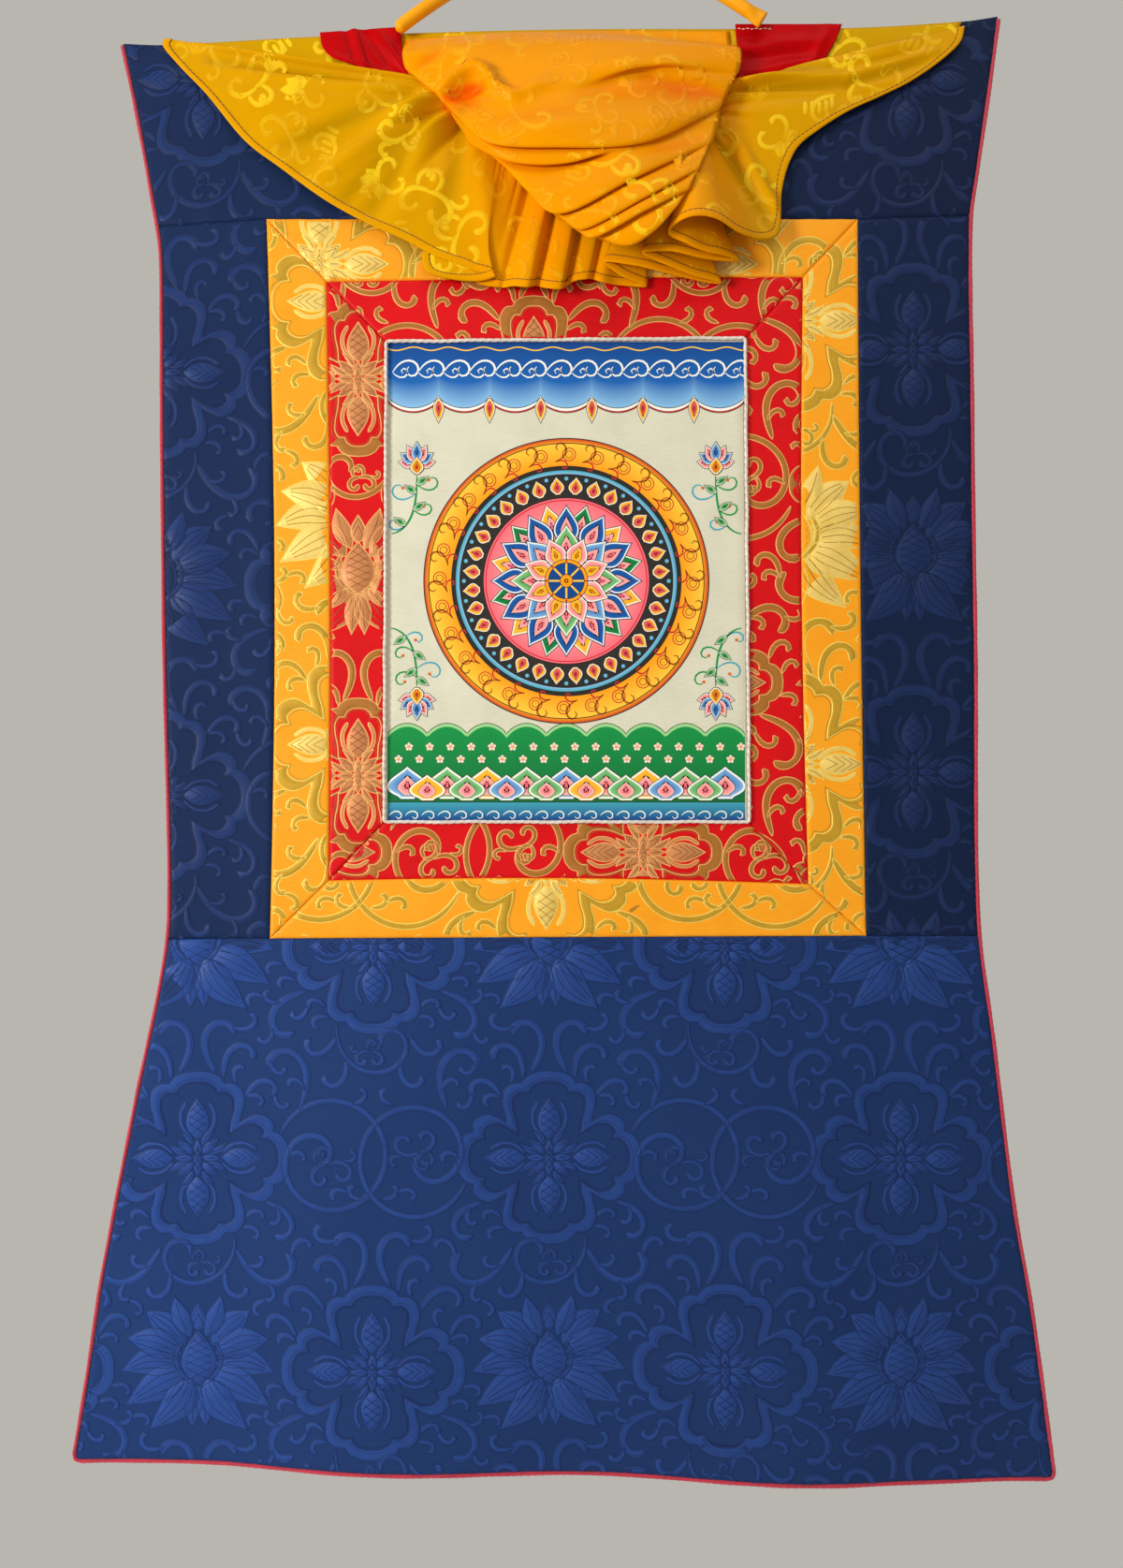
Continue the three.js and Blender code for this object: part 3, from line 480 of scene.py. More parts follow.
CAMERA_AWAY = 0.819  # metres in front of the wall
CAMERA_HEIGHT = -0.5467
LENS, SENSOR = 26.0, 36
LIGHTS = [  # name, place, aimed at, side in metres, watts
    ("window", (-1.75, -1.35, -0.35), (0.0, 0.0, -0.65), 0.6, 41),
    ("ceiling", (0.2, -1.2, 1.3), (0.0, 0.0, -0.6), 1.2, 9),
]
FLOOR_RADIUS, FLOOR_Y, FLOOR_Z, FLOOR_SIDES = 750, -500, -1350, 64


def set_up_view():
    """Camera square on to the wall at the middle of the view, soft daylight from the left and the
    front, and a pale floor well below the hem."""
    scene = bpy.context.scene
    camera = bpy.data.objects.new("camera", bpy.data.cameras.new("camera"))
    scene.collection.objects.link(camera)
    camera.location = (0, -CAMERA_AWAY, CAMERA_HEIGHT)
    camera.rotation_euler = (math.radians(90), 0, 0)
    camera.data.sensor_fit = "VERTICAL"
    camera.data.sensor_height = SENSOR
    camera.data.lens = LENS
    camera.data.clip_start = 0.01
    scene.camera = camera

    scene.world = bpy.data.worlds.new("pale_room")
    scene.world.use_nodes = True
    background = scene.world.node_tree.nodes["Background"].inputs
    background["Color"].default_value = rgba("#b9b6b0")
    background["Strength"].default_value = 1.0
    for name, place, target, side, watts in LIGHTS:
        lamp = bpy.data.lights.new(name, "AREA")
        lamp.shape = "SQUARE"
        lamp.size = side
        lamp.energy = watts
        light = bpy.data.objects.new(name, lamp)
        scene.collection.objects.link(light)
        x, y, z = np.array(place) - np.array(target)
        light.location = place
        light.rotation_euler = (math.atan2(math.hypot(x, y), z), 0, math.atan2(x, -y))
    scene.view_settings.view_transform = "Standard"
    scene.view_settings.look = "None"

    angle = np.linspace(0, 2 * np.pi, FLOOR_SIDES, endpoint=False)
    disc = stacked(FLOOR_RADIUS * np.cos(angle), FLOOR_Y + FLOOR_RADIUS * np.sin(angle), FLOOR_Z)
    paint, _, _ = new_material("pale_floor", Base_Color=rgba("#d8d5d0"), Roughness=0.8)
    mesh = bpy.data.meshes.new("floor")
    mesh.from_pydata((disc * MM).tolist(), [], [list(range(FLOOR_SIDES))])
    mesh.materials.append(paint)
    floor = bpy.data.objects.new("floor", mesh)
    scene.collection.objects.link(floor)


set_up_view()

# ---- hanging strap ----

# Route of the strap, from its left end over the nail to its right end.
STRAP_ROUTE = [
    (-118, -9.8, -8), (-107, -9.5, 1), (-92, -8.8, 12), (-76, -8, 23), (-60, -7.2, 34.5),
    (-44, -6.5, 46.5), (-28, -6, 58.5), (-14, -5.6, 69), (-4, -5.4, 75.6), (6, -5.3, 79.6),
    (16, -5.3, 80.4), (26, -5.4, 77.6), (37, -5.6, 71.2), (52, -6, 61), (68, -6.5, 50),
    (84, -7.2, 39), (100, -8, 28), (116, -8.8, 17.5), (131, -9.5, 7.5), (144, -9.8, -1),
]

STRAP_SEAM_AT, STRAP_SEAM_WIDTH = 4.3, 0.22  # angles
STRAP_SEAM_RISE, STRAP_SLACK = 0.05, 0.035  # shares of its radius
STRAP_ROUNDED = 4.5  # length of its rounded end
STRAP_SPREAD, STRAP_FLAT = 0.35, 0.62  # how much wider and thinner its sewn end is


def make_strap():
    """Tube of satin: a round sleeve, a little slack, with a seam ridge along its underside. Its left
    end is closed round, and its right end is pinched flat where it is sewn on."""
    path = resample(spline(STRAP_ROUTE, 12), 1.5)
    length = lengths(path)[-1]

    def radius(along, angle):
        seam = STRAP_SEAM_RISE * bell((angle - STRAP_SEAM_AT) / STRAP_SEAM_WIDTH)
        slack = STRAP_SLACK * np.sin(along / 7.1 + np.sin(along / 17)) * np.cos(angle - 0.6)
        share = np.clip(along / STRAP_ROUNDED, 0.02, 1)
        pinch = 1 + STRAP_SPREAD * smooth_step(length - 12, length - 3, along)
        return STRAP_RADIUS * (0.96 + seam + slack) * np.sqrt(share * (2 - share)) * pinch

    thin = 1 - STRAP_FLAT * smooth_step(length - 14, length - 4, lengths(path))
    points, faces = tube(path, radius, 20, flatten=thin)
    strap = mesh_object("strap_tube", points, faces, STRAP_CLOTH, "strap_cloth", "hanging_strap")


make_strap()

# ---- corded edge and canvas edging ----

PIPING_CORNERS = ((-353.1, -1035.6), (358.1, -1050.6))  # at the hem, left and right
PIPING_TOPS = (-13, 6)  # heights where it starts and ends
CORNER_BEND = 6  # how far from a corner it starts to turn
PIPING_TWIST, EDGING_TWIST = 5.2, 5.5  # length of one turn of their strands
PIPING_STRANDS, EDGING_STRANDS, PIPING_LUMPS = 0.09, 0.2, 0.08  # shares of their radius
EDGING_LIFT, EDGING_WANDER = 0.45, 0.35
EDGING_CORNER = 2  # how far from a corner it starts to turn


def make_piping():
    """One cord down the left edge, round the hem and up the right edge, half a cord inside the
    outline, its covering twisted: its radius swells with twice the angle less the turn along it."""
    (x0, z0), (x1, z1) = PIPING_CORNERS
    left = np.linspace(PIPING_TOPS[0], z0 + CORNER_BEND, 330)
    right = np.linspace(z1 + CORNER_BEND, PIPING_TOPS[1], 330)
    along = np.linspace(x0 + CORNER_BEND, x1 - CORNER_BEND, 250)
    cut = 0.29 * CORNER_BEND
    outline = resample(np.concatenate([
        stacked(left_x(left) + PIPING_RADIUS, left), [(x0 + cut, z0 + cut)],
        stacked(along, bottom_z(along) + PIPING_RADIUS), [(x1 - cut, z1 + cut)],
        stacked(right_x(right) - PIPING_RADIUS, right),
    ]), 1.6)

    def radius(along, angle):
        twist = PIPING_STRANDS * np.cos(2 * angle - 2 * np.pi * along / PIPING_TWIST)
        return PIPING_RADIUS * (1 + twist + PIPING_LUMPS * np.sin(along / 9 + 2 * np.sin(along / 41)))

    points, faces = tube(stacked(outline[:, 0], cloth_y(*outline.T), outline[:, 1]), radius, 8)
    mesh_object("piping_cord", points, faces, PIPING_CORD, "piping", "piping")


def make_edging():
    """Twisted cord laid on the canvas seam: three strands, as a radius that swells with three times
    the angle less the turn along it. It wanders a little, as hand-laid cord does."""
    corners = np.array([RED_INNER[k] for k in ("tl", "tr", "br", "bl")], float)
    rounded = []
    for k in range(4):
        before, here, after = corners[k - 1], corners[k], corners[(k + 1) % 4]
        rounded += [
            here + EDGING_CORNER * unit(before - here),
            here + 0.3 * EDGING_CORNER * unit((before + after) / 2 - here),
            here + EDGING_CORNER * unit(after - here),
        ]
    line = resample(np.array(rounded + rounded[:1]), 0.8)[:-1]
    turn = 2 * np.pi * lengths(line) / lengths(line)[-1]
    wander = EDGING_WANDER * np.sin(23 * turn) * np.sin(7 * turn)
    line = line + unit(line - corners.mean(0)) * wander[:, None]
    path = stacked(line[:, 0], -(PANEL_FRONT + EDGING_LIFT + EDGING_RADIUS), line[:, 1])
    length = lengths(path)[-1]
    turns = round(length / EDGING_TWIST)

    def radius(along, angle):
        strands = EDGING_STRANDS * np.cos(3 * angle - turns * 2 * np.pi * along / length)
        return EDGING_RADIUS * (0.95 + strands)

    points, faces = tube(path, radius, 10, closed=True)
    mesh_object("edging_cord", points, faces, EDGING_CORD, "edging_cord", "canvas_edging")


make_piping()
make_edging()

# ---- brocade figure ----

# One design is woven in all three colours. It repeats every REPEAT_WIDE by REPEAT_HIGH, with
# cartouches and lotus flowers in half-dropped rows, pairs of linked rings and curling tendrils.
REPEAT_WIDE, REPEAT_HIGH = 254, 305
TURNED_EDGE, TURN_REACH = 1.2, 0.9  # how far, and over what, an edge turns back into its seam
FLOAT_HEIGHT, CORD_HEIGHT = 0.1, 0.36  # how far a figure's floats and its edge cords stand up
LAYERS, GOLDEN = 0.13, 0.618034  # each band lies at its own share of LAYERS over the cloth
COPY_RISE = 0.0037  # what each copy of a figure adds to that
SUNK = 0.12  # how deep the sides of a float lie in the cloth
CORD_WIDTH, FINE_CORD, FINE_HEIGHT = 1.15, 0.9, FLOAT_HEIGHT + 0.12
CORD_INSET = 0.25  # from the edge of a float to the middle of its cord
TENDRIL_STEP = 2.8
SCROLL, OUTLINE, INNER, BLOOM, VEIN = range(5)


def wind(points):
    """Smooth line through points."""
    return spline(np.array(points, float), 6)


def turned_left(vectors):
    """Vectors turned a quarter turn to their left."""
    return stacked(-vectors[..., 1], vectors[..., 0])


def heading_of(degrees):
    """Unit vector at an angle from X towards Z."""
    return np.array([math.cos(math.radians(degrees)), math.sin(math.radians(degrees))])


def tendril(x, z, heading, length, bend, curl, power=2):
    """Line of a length from (x, z), whose heading turns by bend s + curl s^power degrees at a share s."""
    s = np.linspace(0, 1, max(int(length / TENDRIL_STEP), 8))
    angle = np.radians(heading + bend * s + curl * s**power)
    steps = length / (len(s) - 1) * stacked(np.cos(angle), np.sin(angle))
    return [x, z] + np.concatenate([[[0, 0]], np.cumsum((steps[1:] + steps[:-1]) / 2, axis=0)])


def sides_of(points, offset):
    """The line moved to its left by offset, which may differ from point to point."""
    return points + turned_left(unit(np.gradient(points, axis=0))) * np.reshape(offset, (-1, 1))


def bend_radius(line):
    """Radius of the line's bend at each of its points, the least of a point's and its neighbours'."""
    steps = np.diff(line, axis=0)
    forward = unit(steps)
    turn = np.arccos(np.clip((forward[1:] * forward[:-1]).sum(axis=1), -1, 1))
    radius = np.linalg.norm(steps[1:], axis=1) / np.maximum(turn, 1e-4)
    radius = np.concatenate([radius[:1], radius, radius[-1:]])
    after, before = np.append(radius[1:], radius[-1]), np.append(radius[0], radius[:-1])
    return np.minimum(radius, np.minimum(after, before))


BANDS = itertools.count(1)
WIDE_PETAL = 14  # one wider than this has three ribs


class Drawing:
    """Figure drawn in the plane: points with a height each, and quads with a kind each."""

    def __init__(self):
        self.points, self.faces, self.kinds, self.count, self.level = [], [], [], 0, 0.0

    def put(self, points, faces, kinds):
        """Adds points, and quads of one kind or of a kind each."""
        self.points.append(points)
        self.faces.append(faces + self.count)
        self.kinds.append(np.broadcast_to(kinds, len(faces)))
        self.count += len(points)

    def whole(self):
        """All its points, quads and kinds."""
        return [np.concatenate(part) for part in (self.points, self.faces, self.kinds)]

    def add(self, *others):
        """Takes in other drawings."""
        for other in others:
            self.put(*other.whole())
        return self

    def copied(self, turns):
        """Another drawing, with this one in it once for each (x, z, flip, flip) in turns."""
        copy = Drawing()
        points, faces, kinds = self.whole()
        for k, (x, z, flip_x, flip_z) in enumerate(turns):
            turned = faces if flip_x * flip_z > 0 else faces[:, ::-1]
            copy.put(points * [flip_x, flip_z, 1] + [x, z, COPY_RISE * k], turned, kinds)
        return copy

    def next_band(self):
        """Starts a band at a height of its own, so that no two bands lie in one plane."""
        self.level = LAYERS * (next(BANDS) * GOLDEN % 1)

    def weave(self, lines, heights, kind):
        """Ribbon over lines that lie side by side, each at a height of its own."""
        rows = [np.column_stack([line, np.full(len(line), h)]) for line, h in zip(lines, heights)]
        self.put(np.concatenate(rows), grid_faces(len(rows), len(lines[0])), kind)

    def cord(self, line, kind, width=CORD_WIDTH, height=CORD_HEIGHT):
        """Thin raised line."""
        lines = [sides_of(line, offset) for offset in (-width / 2, 0, width / 2)]
        self.weave(lines, (-SUNK, height + self.level, -SUNK), kind)

    def float_band(self, line, width, kind=SCROLL, inner=0):
        """Band of floats, its width shared out by a profile along it, drawn in at both ends by
        sqrt(1 - 0.97 s^10) and in tight bends, with a raised cord on its edges and perhaps a finer
        one inside it."""
        self.next_band()
        s = np.linspace(-1, 1, len(line))
        half = np.broadcast_to(np.asarray(width, float) / 2, len(line)) * np.sqrt(1 - 0.97 * s**10)
        half = np.minimum(half, 0.85 * bend_radius(line))
        soft = np.maximum(half - 0.5, half * 0.6)
        top = FLOAT_HEIGHT + self.level
        lines = [sides_of(line, offset) for offset in (-half, -soft, soft, half)]
        self.weave(lines, (-SUNK, top, top, -SUNK), kind)
        for side in (-1, 1):
            self.cord(sides_of(line, side * (half - CORD_INSET)), OUTLINE)
        if inner:
            self.cord(sides_of(line, half * inner), INNER, FINE_CORD, FINE_HEIGHT)

    def strip(self, inner, outer):
        """Band between two lines with cords along both and a finer one on each side of the first."""
        self.next_band()
        top = FLOAT_HEIGHT + self.level
        lines = [between(inner, outer, share) for share in (0, 0.08, 0.9, 1)]
        self.weave(lines, (-SUNK, top, top, -SUNK), SCROLL)
        self.cord(between(inner, outer, 0.06), OUTLINE)
        self.cord(between(inner, outer, 0.95), OUTLINE)
        self.cord(between(inner, outer, 0.3), INNER, FINE_CORD, FINE_HEIGHT)
        self.cord(between(inner, outer, -0.12), INNER, FINE_CORD, 0.06)

    def petal(self, line, width, veins="rib"):
        """Leaf or petal: a band as wide as sin(pi s^0.8), with a rib, chevrons or a net on it."""
        s = np.linspace(0, 1, len(line))
        half = width / 2 * np.sin(np.pi * np.clip(s, 0.02, 0.985) ** 0.8)
        self.float_band(line, 2 * half, BLOOM)
        if veins == "rib":
            for share in (-0.45, 0, 0.45) if width > WIDE_PETAL else (0,):
                self.cord(sides_of(line, share * half)[2:-2], VEIN, 1.1)
            return
        for k in range(2, len(line) - 3, 2):
            ahead = min(k + 3, len(line) - 2)
            for side in (-0.75, 0.75):
                far = sides_of(line, -side * half) if veins == "net" else line
                self.cord(np.linspace(sides_of(line, side * half)[k], far[ahead], 3), VEIN, 1.0)


MIRROR_4 = [(0, 0, 1, 1), (0, 0, -1, 1), (0, 0, 1, -1), (0, 0, -1, -1)]
MIRROR_X = [(0, 0, 1, 1), (0, 0, -1, 1)]
MIRROR_Z = [(0, 0, 1, 1), (0, 0, 1, -1)]
CARTOUCHE_ARCS = [  # inner and outer line of each lobe in a quarter of the outline
    ([(0, 55), (7, 54.3), (12.5, 51), (14.5, 47)], [(0, 63.5), (9, 62.5), (16.5, 59), (20, 54.5)]),
    (
        [(14.5, 47), (20.5, 47.5), (25.5, 43.5), (26, 35), (23.5, 26), (22.5, 17)],
        [(20, 54.5), (27, 54), (33, 48.5), (34, 39), (32, 31.5), (31, 26)],
    ),
    (
        [(22.5, 17), (28.5, 20.5), (36.5, 24.5), (43.5, 23.5), (47.5, 19), (46, 14)],
        [(31, 26), (37, 29.5), (44, 32), (51.5, 29.5), (55.5, 24), (55, 19.5)],
    ),
    ([(46, 14), (52, 13), (56.8, 7), (58, 0)], [(55, 19.5), (61, 17), (66, 9), (67, 0)]),
]
SNUG_ARCS = [  # the same, drawn closer round the buds, as it is woven in the red
    ([(0, 51.5), (5, 50.8), (8.5, 48), (10, 44.5)], [(0, 60), (8, 59), (13.5, 56), (16.5, 52)]),
    (
        [(10, 44.5), (14, 44.5), (17, 40), (17, 32), (15, 22), (14.5, 12)],
        [(16.5, 52), (22, 51), (26, 45), (26, 36), (24.5, 28), (24, 21)],
    ),
    (
        [(14.5, 12), (21, 15), (30, 17), (38, 16.5), (42, 13.5), (42.5, 9.5)],
        [(24, 21), (31, 24), (39, 25.5), (46.5, 23), (50.5, 18.5), (50.5, 15)],
    ),
    ([(42.5, 9.5), (47.5, 9), (51.5, 5), (52.5, 0)], [(50.5, 15), (56, 13), (60.5, 7), (61.5, 0)]),
]


def cartouche(arcs):
    """Four cusped lobes around a cross of buds: netted ones up and down, chevrons to the sides."""
    lobes, upright, level, corner, centre = (Drawing() for _ in range(5))
    for inner, outer in arcs:
        lobes.strip(wind(inner), wind(outer))
    upright.petal(np.linspace((0, 13), (0, 44), 13), 17, "net")
    upright.petal(np.linspace((0, 1), (0, 14), 7), 6.5)
    for side in (-1, 1):
        upright.float_band(wind([(3, 15), (10.5, 22), (12, 32), (8, 41)]) * [side, 1], 3, BLOOM)
        level.float_band(wind([(17, 3), (25, 9.5), (35, 10.5), (43, 6)]) * [1, side], 2.8, BLOOM)
    level.petal(np.linspace((17, 0), (48, 0), 13), 15, "chevron")
    level.petal(np.linspace((3, 0), (17, 0), 7), 6)
    corner.petal(np.linspace((3, 3), (15, 14), 8), 7.5, "chevron")
    corner.petal(wind([(7, 3), (15, 6), (21, 11)]), 5)
    corner.petal(wind([(3, 9), (7, 16), (12, 20)]), 5)
    centre.petal(np.linspace((0, -8), (0, 8), 11), 7, "chevron")
    return lobes.copied(MIRROR_4).add(
        upright.copied(MIRROR_Z), level.copied(MIRROR_X), corner.copied(MIRROR_4), centre
    )


LOTUS_PETALS = [  # three points of the midline, and the width: right half, from the lowest to the top
    ((0, -14), (4, -30), (5, -46), 13), ((5, -10), (15, -28), (36, -47), 24),
    ((9, -6), (28, -14), (53, -29), 25), ((12, 0), (34, 3), (56, -4), 22),
    ((12, 8), (32, 17), (52, 20), 22), ((9, 14), (24, 30), (38, 40), 20),
    ((5, 20), (13, 36), (17, 51), 14), ((13, 4), (22, 9), (30, 12), 8), ((8, -10), (14, -18), (24, -27), 8),
]


def lotus():
    """Lotus in profile: a netted core, petals that open above it and long ones that droop below."""
    half, core = Drawing(), Drawing()
    for *midline, width in LOTUS_PETALS:
        half.petal(wind(midline), width)
    half.float_band(wind([(1, -15), (9, -10), (15, -2), (16, 8), (12, 16)]), 3.2)
    core.petal(np.linspace((0, -15), (0, 26), 17), 26, "net")
    core.petal(np.linspace((0, 24), (0, 46), 9), 12, "chevron")
    return half.copied(MIRROR_X).add(core)


def swelling(line, width):
    """Profile of a tendril: thin where it starts, and fuller towards its curled tip."""
    s = np.linspace(0, 1, len(line))
    return width * (0.62 + 0.3 * np.sin(np.pi * s) + 0.45 * smooth_step(0.75, 0.95, s))


RING_LENGTH, RING_PITCH = 292, 1.45  # of its rope, and degrees that it turns for each millimetre
ROPE_WIDTH, ROPE_SWELL = 4.2, 1.6
ROPE_TICKED = (0.34, 0.62)  # the stretch of it that shows its strands


def ring_line():
    """Rope that leaves a cartouche, runs round in a ring and curls up inside it."""
    return tendril(60, 17, 68, RING_LENGTH, -RING_PITCH * RING_LENGTH, -210, 9)


def ring():
    """The rope, with slanted ticks for its strands along its lower half, and a cloud scroll in it."""
    part = Drawing()
    line = ring_line()
    count = len(line)
    part.float_band(line, ROPE_WIDTH + ROPE_SWELL * np.linspace(0, 1, count) ** 4)
    near, far = sides_of(line, -1.5), sides_of(line, 1.5)
    for k in range(*(int(count * share) for share in ROPE_TICKED)):
        part.cord(np.linspace(near[k], far[k + 1], 3), INNER, FINE_CORD, FINE_HEIGHT)
    return part.add(cloud(93, -5, 20, 0.5, 1))


SCROLL_SIZES = (1.2, 1.0, 0.8, 0.62, 0.48, 0.36)
SCROLL_LENGTH, SCROLL_WIDTH = 60, 6.2
SCROLL_LEAVES, SCROLL_BEND, SCROLL_CURL = 38, -24, 236  # degrees: off its host, and along it
SCROLL_FEET = (0.5, 0.22, 0.78, 0.36, 0.64, 0.92, 0.08, 0.29, 0.71)  # shares of a host's length
CELL = 0.6
SCROLL_GAP, SPRING = 1.3, 9  # room kept round a scroll, and how much of its foot may touch its host
GENERATIONS = 4
SWAG = (26, -56, -80, 118, -225, -190, 5)  # its tendril: x, z, heading, length, bend, curl, power
LOTUS_LIFT = 2
LOBE_REACH = 6  # how far round each line drawn inside a cartouche it counts as taken
CLOUD_TENDRILS = [  # x, z, heading, length, bend, curl, width, of a cloud scroll that lies along X
    (0, 0, 10, 78, -70, -240, 5.4), (2, 1, 170, 66, 60, 240, 5.2), (8, 2, 60, 46, 40, 220, 4.8),
    (-12, 4, 110, 40, -50, -220, 4.6), (26, 0, -50, 36, 60, 200, 4.4),
]


def cloud(x, z, turn, size, flip):
    """Cloud scroll of five tendrils at a place, turned by degrees and flipped over its length."""
    part = Drawing()
    along = heading_of(turn)
    turned = np.array([along, turned_left(along) * flip])
    for *course, curl, width in CLOUD_TENDRILS:
        line = tendril(*course, curl) * size @ turned + [x, z]
        profile = swelling(line, width * (0.55 + 0.45 * size))
        part.float_band(line, profile, inner=-0.4 * flip * np.sign(curl))
    return part


class Floor:
    """Raster of one repeat, CELL millimetres to a cell, that marks which places are taken. It joins
    on to itself at its edges, as the repeat does."""

    def __init__(self):
        self.shape = (int(REPEAT_WIDE / CELL), int(REPEAT_HIGH / CELL))
        self.busy = np.zeros(self.shape, bool)

    def cells(self, points):
        """Cell of each point."""
        where = np.floor(points / [REPEAT_WIDE / self.shape[0], REPEAT_HIGH / self.shape[1]]).astype(int)
        return where[..., 0] % self.shape[0], where[..., 1] % self.shape[1]

    def take(self, points, reach):
        """Marks all that lies within reach of the points, and of their mirror image in x = 0."""
        steps = np.arange(-reach, reach + CELL, CELL)
        disc = np.stack(np.meshgrid(steps, steps), axis=-1).reshape(-1, 2)
        disc = disc[np.hypot(*disc.T) <= reach]
        for side in (-1, 1):
            self.busy[self.cells((points * [side, 1])[:, None] + disc)] = True

    def free(self, line, reach):
        """Whether a line, with reach to each side of it, keeps clear of all that is taken."""
        across = [sides_of(line, share * reach) for share in (-1, -0.5, 0, 0.5, 1)]
        return not self.busy[self.cells(np.concatenate(across))].any()


def fitting_scroll(foot, heading, side, floor):
    """The largest hook that leaves a host to one side and keeps clear of all that is taken, with
    its width and size, or None. Marks its place as taken."""
    for size in SCROLL_SIZES:
        width = SCROLL_WIDTH * (0.5 + 0.5 * min(size, 1))
        reach = width / 2 + 0.5
        turns = (SCROLL_BEND * side, SCROLL_CURL * side)
        line = tendril(*foot, heading + SCROLL_LEAVES * side, SCROLL_LENGTH * size, *turns)
        tip = line[lengths(line) > SPRING]
        inside = ((tip[:, 0] > reach) & (tip[:, 0] < REPEAT_WIDE / 2 - reach)).all()
        if inside and floor.free(tip, reach):
            floor.take(line, reach + SCROLL_GAP)
            return line, width, size
    return None


def grown_scrolls(hosts, floor):
    """Scrolls that spring from hosts, lines of the right half of a repeat, and fill its gaps. Each
    is a hook that curls up, as large as there is room for, and then carries scrolls of its own."""
    part = Drawing()
    for _ in range(GENERATIONS):
        grown = []
        for number, host in enumerate(hosts):
            forward = unit(np.gradient(host, axis=0))
            for k, share in enumerate(SCROLL_FEET):
                at = int(share * (len(host) - 1))
                heading = math.degrees(math.atan2(forward[at, 1], forward[at, 0]))
                for side in (1, -1) if (number + k) % 2 else (-1, 1):
                    scroll = fitting_scroll(host[at], heading, side, floor)
                    if scroll:
                        line, width, size = scroll
                        part.float_band(line, swelling(line, width), inner=-0.4 * side * (size > 0.7))
                        grown.append(line)
        hosts = grown
    return part


def brocade_repeat(arcs):
    """One repeat, as arrays of points, faces and kinds: its middle is a cartouche, another is half
    a repeat away each way, a lotus lies below the first and linked rings beside it, and scrolls
    spring from all of them."""
    second = np.array([REPEAT_WIDE / 2, -REPEAT_HIGH / 2])
    swag = Drawing()
    hanging = tendril(*SWAG)
    swag.float_band(hanging, swelling(hanging, 4.6), inner=0.4)
    swag.add(cloud(1, -76, 10, 0.34, 1))
    whole = Drawing().add(
        cartouche(arcs).copied([(0, 0, 1, 1), (*second, 1, 1)]),
        lotus().copied([(0, second[1] + LOTUS_LIFT, 1, 1)]),
        ring().copied([(0, 0, 1, 1), (REPEAT_WIDE, 0, -1, -1)]),
        swag.copied([(0, 0, 1, 1), (*second, -1, 1)]),
    )
    floor = Floor()
    floor.take(whole.whole()[0][:, :2], SCROLL_GAP)
    rim = [wind(outer) for _, outer in arcs]
    whole_rim = np.concatenate([line * [1, up] for line in rim for up in (-1, 1)])
    for share in np.linspace(0.1, 0.9, 9):
        floor.take(whole_rim * share, LOBE_REACH)
        floor.take(whole_rim * share + second, LOBE_REACH)
        floor.take(whole_rim * [-share, share] + second, LOBE_REACH)
    hosts = [ring_line(), hanging, hanging * [-1, 1] + second]
    hosts += [line[::-1] for line in rim] + [line * [1, -1] for line in rim]
    hosts += [line[::-1] * [-1, 1] + second for line in rim] + [line * [-1, -1] + second for line in rim]
    scrolls = grown_scrolls(hosts, floor)
    return whole.add(scrolls.copied([(0, 0, 1, 1), (REPEAT_WIDE, 0, -1, 1)])).whole()


REPEAT, SNUG_REPEAT = brocade_repeat(CARTOUCHE_ARCS), brocade_repeat(SNUG_ARCS)


def crossing(seam, known):
    """Where a seam, given as a function of 0 to 1, crosses: its height at each place along X for
    known 0, and its place along X at each height for known 1."""
    line = seam(np.linspace(0, 1, 161))
    line = line[np.argsort(line[:, known])]
    return lambda at: np.interp(at, line[:, known], line[:, 1 - known])


FIGURE_MARGIN = 0.35
SHEEN_AND_SHADE = {  # painted sheen and shade: the grey that each blue piece's dye is multiplied by, left and right, standing in for the gloss it gives back as it is turned
    "panel_top": (0.52, 0.3), "panel_bottom": (1.1, 0.76),
    "panel_left": (0.57, 0.54), "panel_right": (0.42, 0.36),
}
SHEEN_FROM, SHEEN_TO = -300, 300


def painted_sheen_and_shade(node, points):
    """The painted sheen and shade of the table above at each point of a blue piece, as a grey, from its
    left to its right. The other cloths have none.
    """
    if node not in SHEEN_AND_SHADE:
        return None
    return np.repeat(np.interp(points[:, :1], (SHEEN_FROM, SHEEN_TO), SHEEN_AND_SHADE[node]), 3, axis=1)


def turned_in(from_edge):
    """How far cloth turns back at a distance d from its edge: TURNED_EDGE e^-(d / TURN_REACH)^2."""
    return TURNED_EDGE * bell(from_edge / TURN_REACH)


